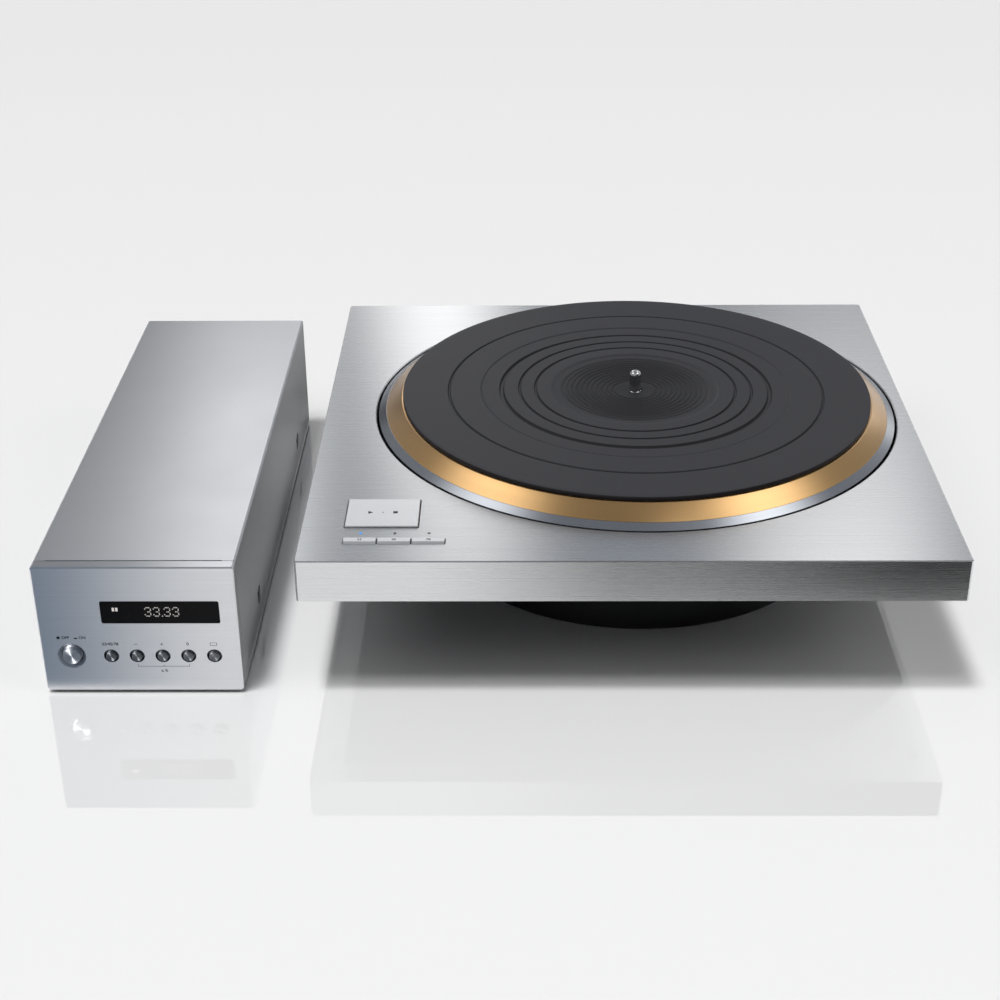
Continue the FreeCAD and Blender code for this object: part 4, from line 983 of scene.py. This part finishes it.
# Painted shade: the floor's colour darkens from front to back and stands in for light that falls off
# with distance.
distance = rescaled(tree, apart(tree, object_place(tree))[1], -0.6, 1.3)
near_paint, far_painted_shade = (0.87, 0.87, 0.872, 1), (0.775, 0.775, 0.775, 1)
tree.links.new(mixed(tree, distance, near_paint, far_painted_shade, "RGBA"), surface["Base Color"])
surface["Roughness"].default_value = 0.0
surface["IOR"].default_value = 2.4

pale, open_shade = (0.79, 0.79, 0.79, 1), (0.07, 0.07, 0.07, 1)
horizon, zenith = (0.33, 0.34, 0.36, 1), (0.22, 0.23, 0.25, 1)
world = bpy.data.worlds.new("studio")
scene.world = world
world.use_nodes = True
world.cycles.sampling_method = "NONE"
tree = world.node_tree
rise = apart(tree, step(tree, "TexCoord")["Generated"])[2]
for_metal = mixed(tree, rescaled(tree, rise, 0.0, 0.9, curve="SMOOTHSTEP"), horizon, zenith, "RGBA")
path = step(tree, "LightPath")
seen = maths(tree, "ADD", path["Is Camera Ray"], path["Is Transmission Ray"],
             path["Is Singular Ray"])
seen = maths(tree, "MINIMUM", seen, 1.0)
even = mixed(tree, path["Is Glossy Ray"], open_shade, for_metal, "RGBA")
tree.links.new(mixed(tree, seen, even, pale, "RGBA"), tree.nodes["Background"].inputs["Color"])
print("floor and world are set")

# %% [markdown]
# ## Lamps
#
# Seven soft lamps light the floor and all that is dull. The one above draws the shadow's edge
# straight under the deck's front, and the others soften its ends. The metal shows soft boxes that
# only reflections see, as in a studio. Each is a card whose light fades towards its edges, and dark
# flags do the opposite. A card works on one side only, and the floor's mirror image passes it by.

# %% Set the lamps
for name, towards, spread, level in [
        ("lamp above", (-0.17, -0.1, 0.97), 8, 0.56),
        ("lamp above in front", (-0.13, -0.25, 0.95), 10, 0.21),
        ("lamp left", (-0.6, -0.1, 0.8), 30, 0.08),
        ("lamp right", (0.5, -0.1, 0.86), 30, 0.05),
        ("low lamp right", (0.7, -0.2, 0.5), 30, 0.10),
        ("lamp front left", (-0.6, -0.4, 0.7), 30, 0.06),
        ("lamp behind", (-0.2, 0.4, 0.9), 30, 0.05)]:
    # A level of 1 shows a white surface that faces the lamp as white. It takes a strength of pi.
    lamp = bpy.data.objects.new(name, bpy.data.lights.new(name, "SUN"))
    lamp.data.angle = math.radians(spread)
    lamp.data.energy = level * math.pi
    lamp.rotation_euler = (-Vector(towards)).to_track_quat("-Z", "Y").to_euler()
    lamp.visible_glossy = False
    lamp.visible_camera = False
    scene.collection.objects.link(lamp)

deck_middle = (0.0, 0.0, 0.08)
ahead, upwards = Vector((0, 1, 0)), Vector((0, 0, 1))


def card(name, centre, width, height, light, fade=(0.4, 0.4), fade_up=0.35, aim=deck_middle,
         facing=None, lean=0, opacity=1.0, colour=(1.0, 1.0, 1.0), only_for=None):
    """A soft box that only reflections see: its light, or its black, fades over a share of the
    width at its left and right and of its height above and below. It looks at a place or in a
    direction, and `lean` tips its top over. `only_for` is a collection of pieces, where the card
    lights no others."""
    made, cloth = sheet(name, width / 2, height / 2)
    made.location = centre
    upright = (facing or Vector(aim) - Vector(centre)).to_track_quat("Z", "Y")
    made.rotation_euler = (upright @ Quaternion((0, 0, 1), math.radians(lean))).to_euler()
    for ray in ("camera", "diffuse", "transmission", "shadow"):
        setattr(made, "visible_" + ray, False)
    made.light_linking.receiver_collection = only_for
    cloth.cycles.emission_sampling = "FRONT" if only_for else "NONE"
    tree = cloth.node_tree
    tree.nodes.remove(tree.nodes["Principled BSDF"])
    across, rise, _ = apart(tree, object_place(tree))
    edges = [(across, -width / 2, fade[0] * width), (across, width / 2, -fade[1] * width),
             (rise, -height / 2, fade_up * height), (rise, height / 2, -fade_up * height)]
    fades = [rescaled(tree, place, start, start + run, curve="SMOOTHSTEP")
             for place, start, run in edges]
    mask = maths(tree, "MULTIPLY", *fades, opacity)
    passed = maths(tree, "ADD", step(tree, "LightPath")["Is Singular Ray"],
                   step(tree, "NewGeometry")["Backfacing"])
    front = maths(tree, "SUBTRACT", 1.0, passed, use_clamp=True)
    glow = step(tree, "Emission", {"Color": colour + (1,), "Strength": light})[0]
    clear = step(tree, "BsdfTransparent")[0]
    share = maths(tree, "MULTIPLY", mask, front)
    both = step(tree, "MixShader", {0: share, 1: clear, 2: glow})[0]
    tree.links.new(both, tree.nodes["Material Output"].inputs["Surface"])


dusk = (0.65, 1.0, 1.5)
card("box far left", (-0.85, 1.0, 0.80), 0.36, 0.7, 0.15, lean=20)
card("box left", (-0.46, 1.05, 0.83), 0.25, 0.8, 2.4, lean=26, fade=(0.4, 0.5))
card("flag far left", (-0.68, 1.12, 0.42), 0.50, 0.6, 0.0, opacity=0.9)
card("box centre left", (-0.17, 1.05, 0.54), 0.26, 0.9, 1.75, lean=-8)
card("box centre", (0.07, 1.05, 0.62), 0.20, 1.1, 0.35, colour=(0.9, 1.0, 1.15))
card("box right", (0.39, 1.05, 1.03), 0.40, 0.9, 1.85, lean=-23, fade=(0.3, 0.3), fade_up=0.45)
card("box far right", (0.85, 1.0, 0.60), 0.40, 1.1, 1.3)
card("box above left", (-0.88, 0.0, 1.16), 1.05, 0.9, 2.0, fade=(0.25, 0.35))
card("box above right", (0.84, -0.16, 1.26), 1.0, 0.9, 2.5, fade=(0.35, 0.25))
card("box above in front", (0.38, -0.62, 1.36), 0.7, 0.5, 1.1)
card("box front", (-0.1, -1.45, 0.95), 1.8, 0.8, 0.7)
card("box for buttons", (-0.49, -0.42, 0.14), 0.15, 0.15, 60.0, aim=(-0.26, -0.19, 0.03),
     only_for=button_caps)
card("flag right", (0.23, -0.262, 0.12), 0.74, 0.24, 0.0, fade=(0.03, 0.19), fade_up=0.05,
     facing=ahead, opacity=0.7)
card("flag far right", (0.29, -0.264, 0.12), 0.62, 0.24, 0.0, fade=(0.03, 0.32), fade_up=0.05,
     facing=ahead)
card("flag left", (-0.352, -0.198, 0.10), 0.26, 0.20, 0.14, fade=(0.50, 0.03), fade_up=0.02,
     facing=ahead, opacity=0.84, colour=dusk)
card("flag between", (-0.2, 0.30, 0.004), 0.12, 0.36, 0.0, fade=(0.05, 0.05), fade_up=0.2,
     facing=upwards, opacity=0.8)
card("flag between in front", (-0.2, 0.0, 0.005), 0.12, 0.37, 0.0, fade=(0.05, 0.05),
     fade_up=0.1, facing=upwards, opacity=0.5)
print("lamps are set")
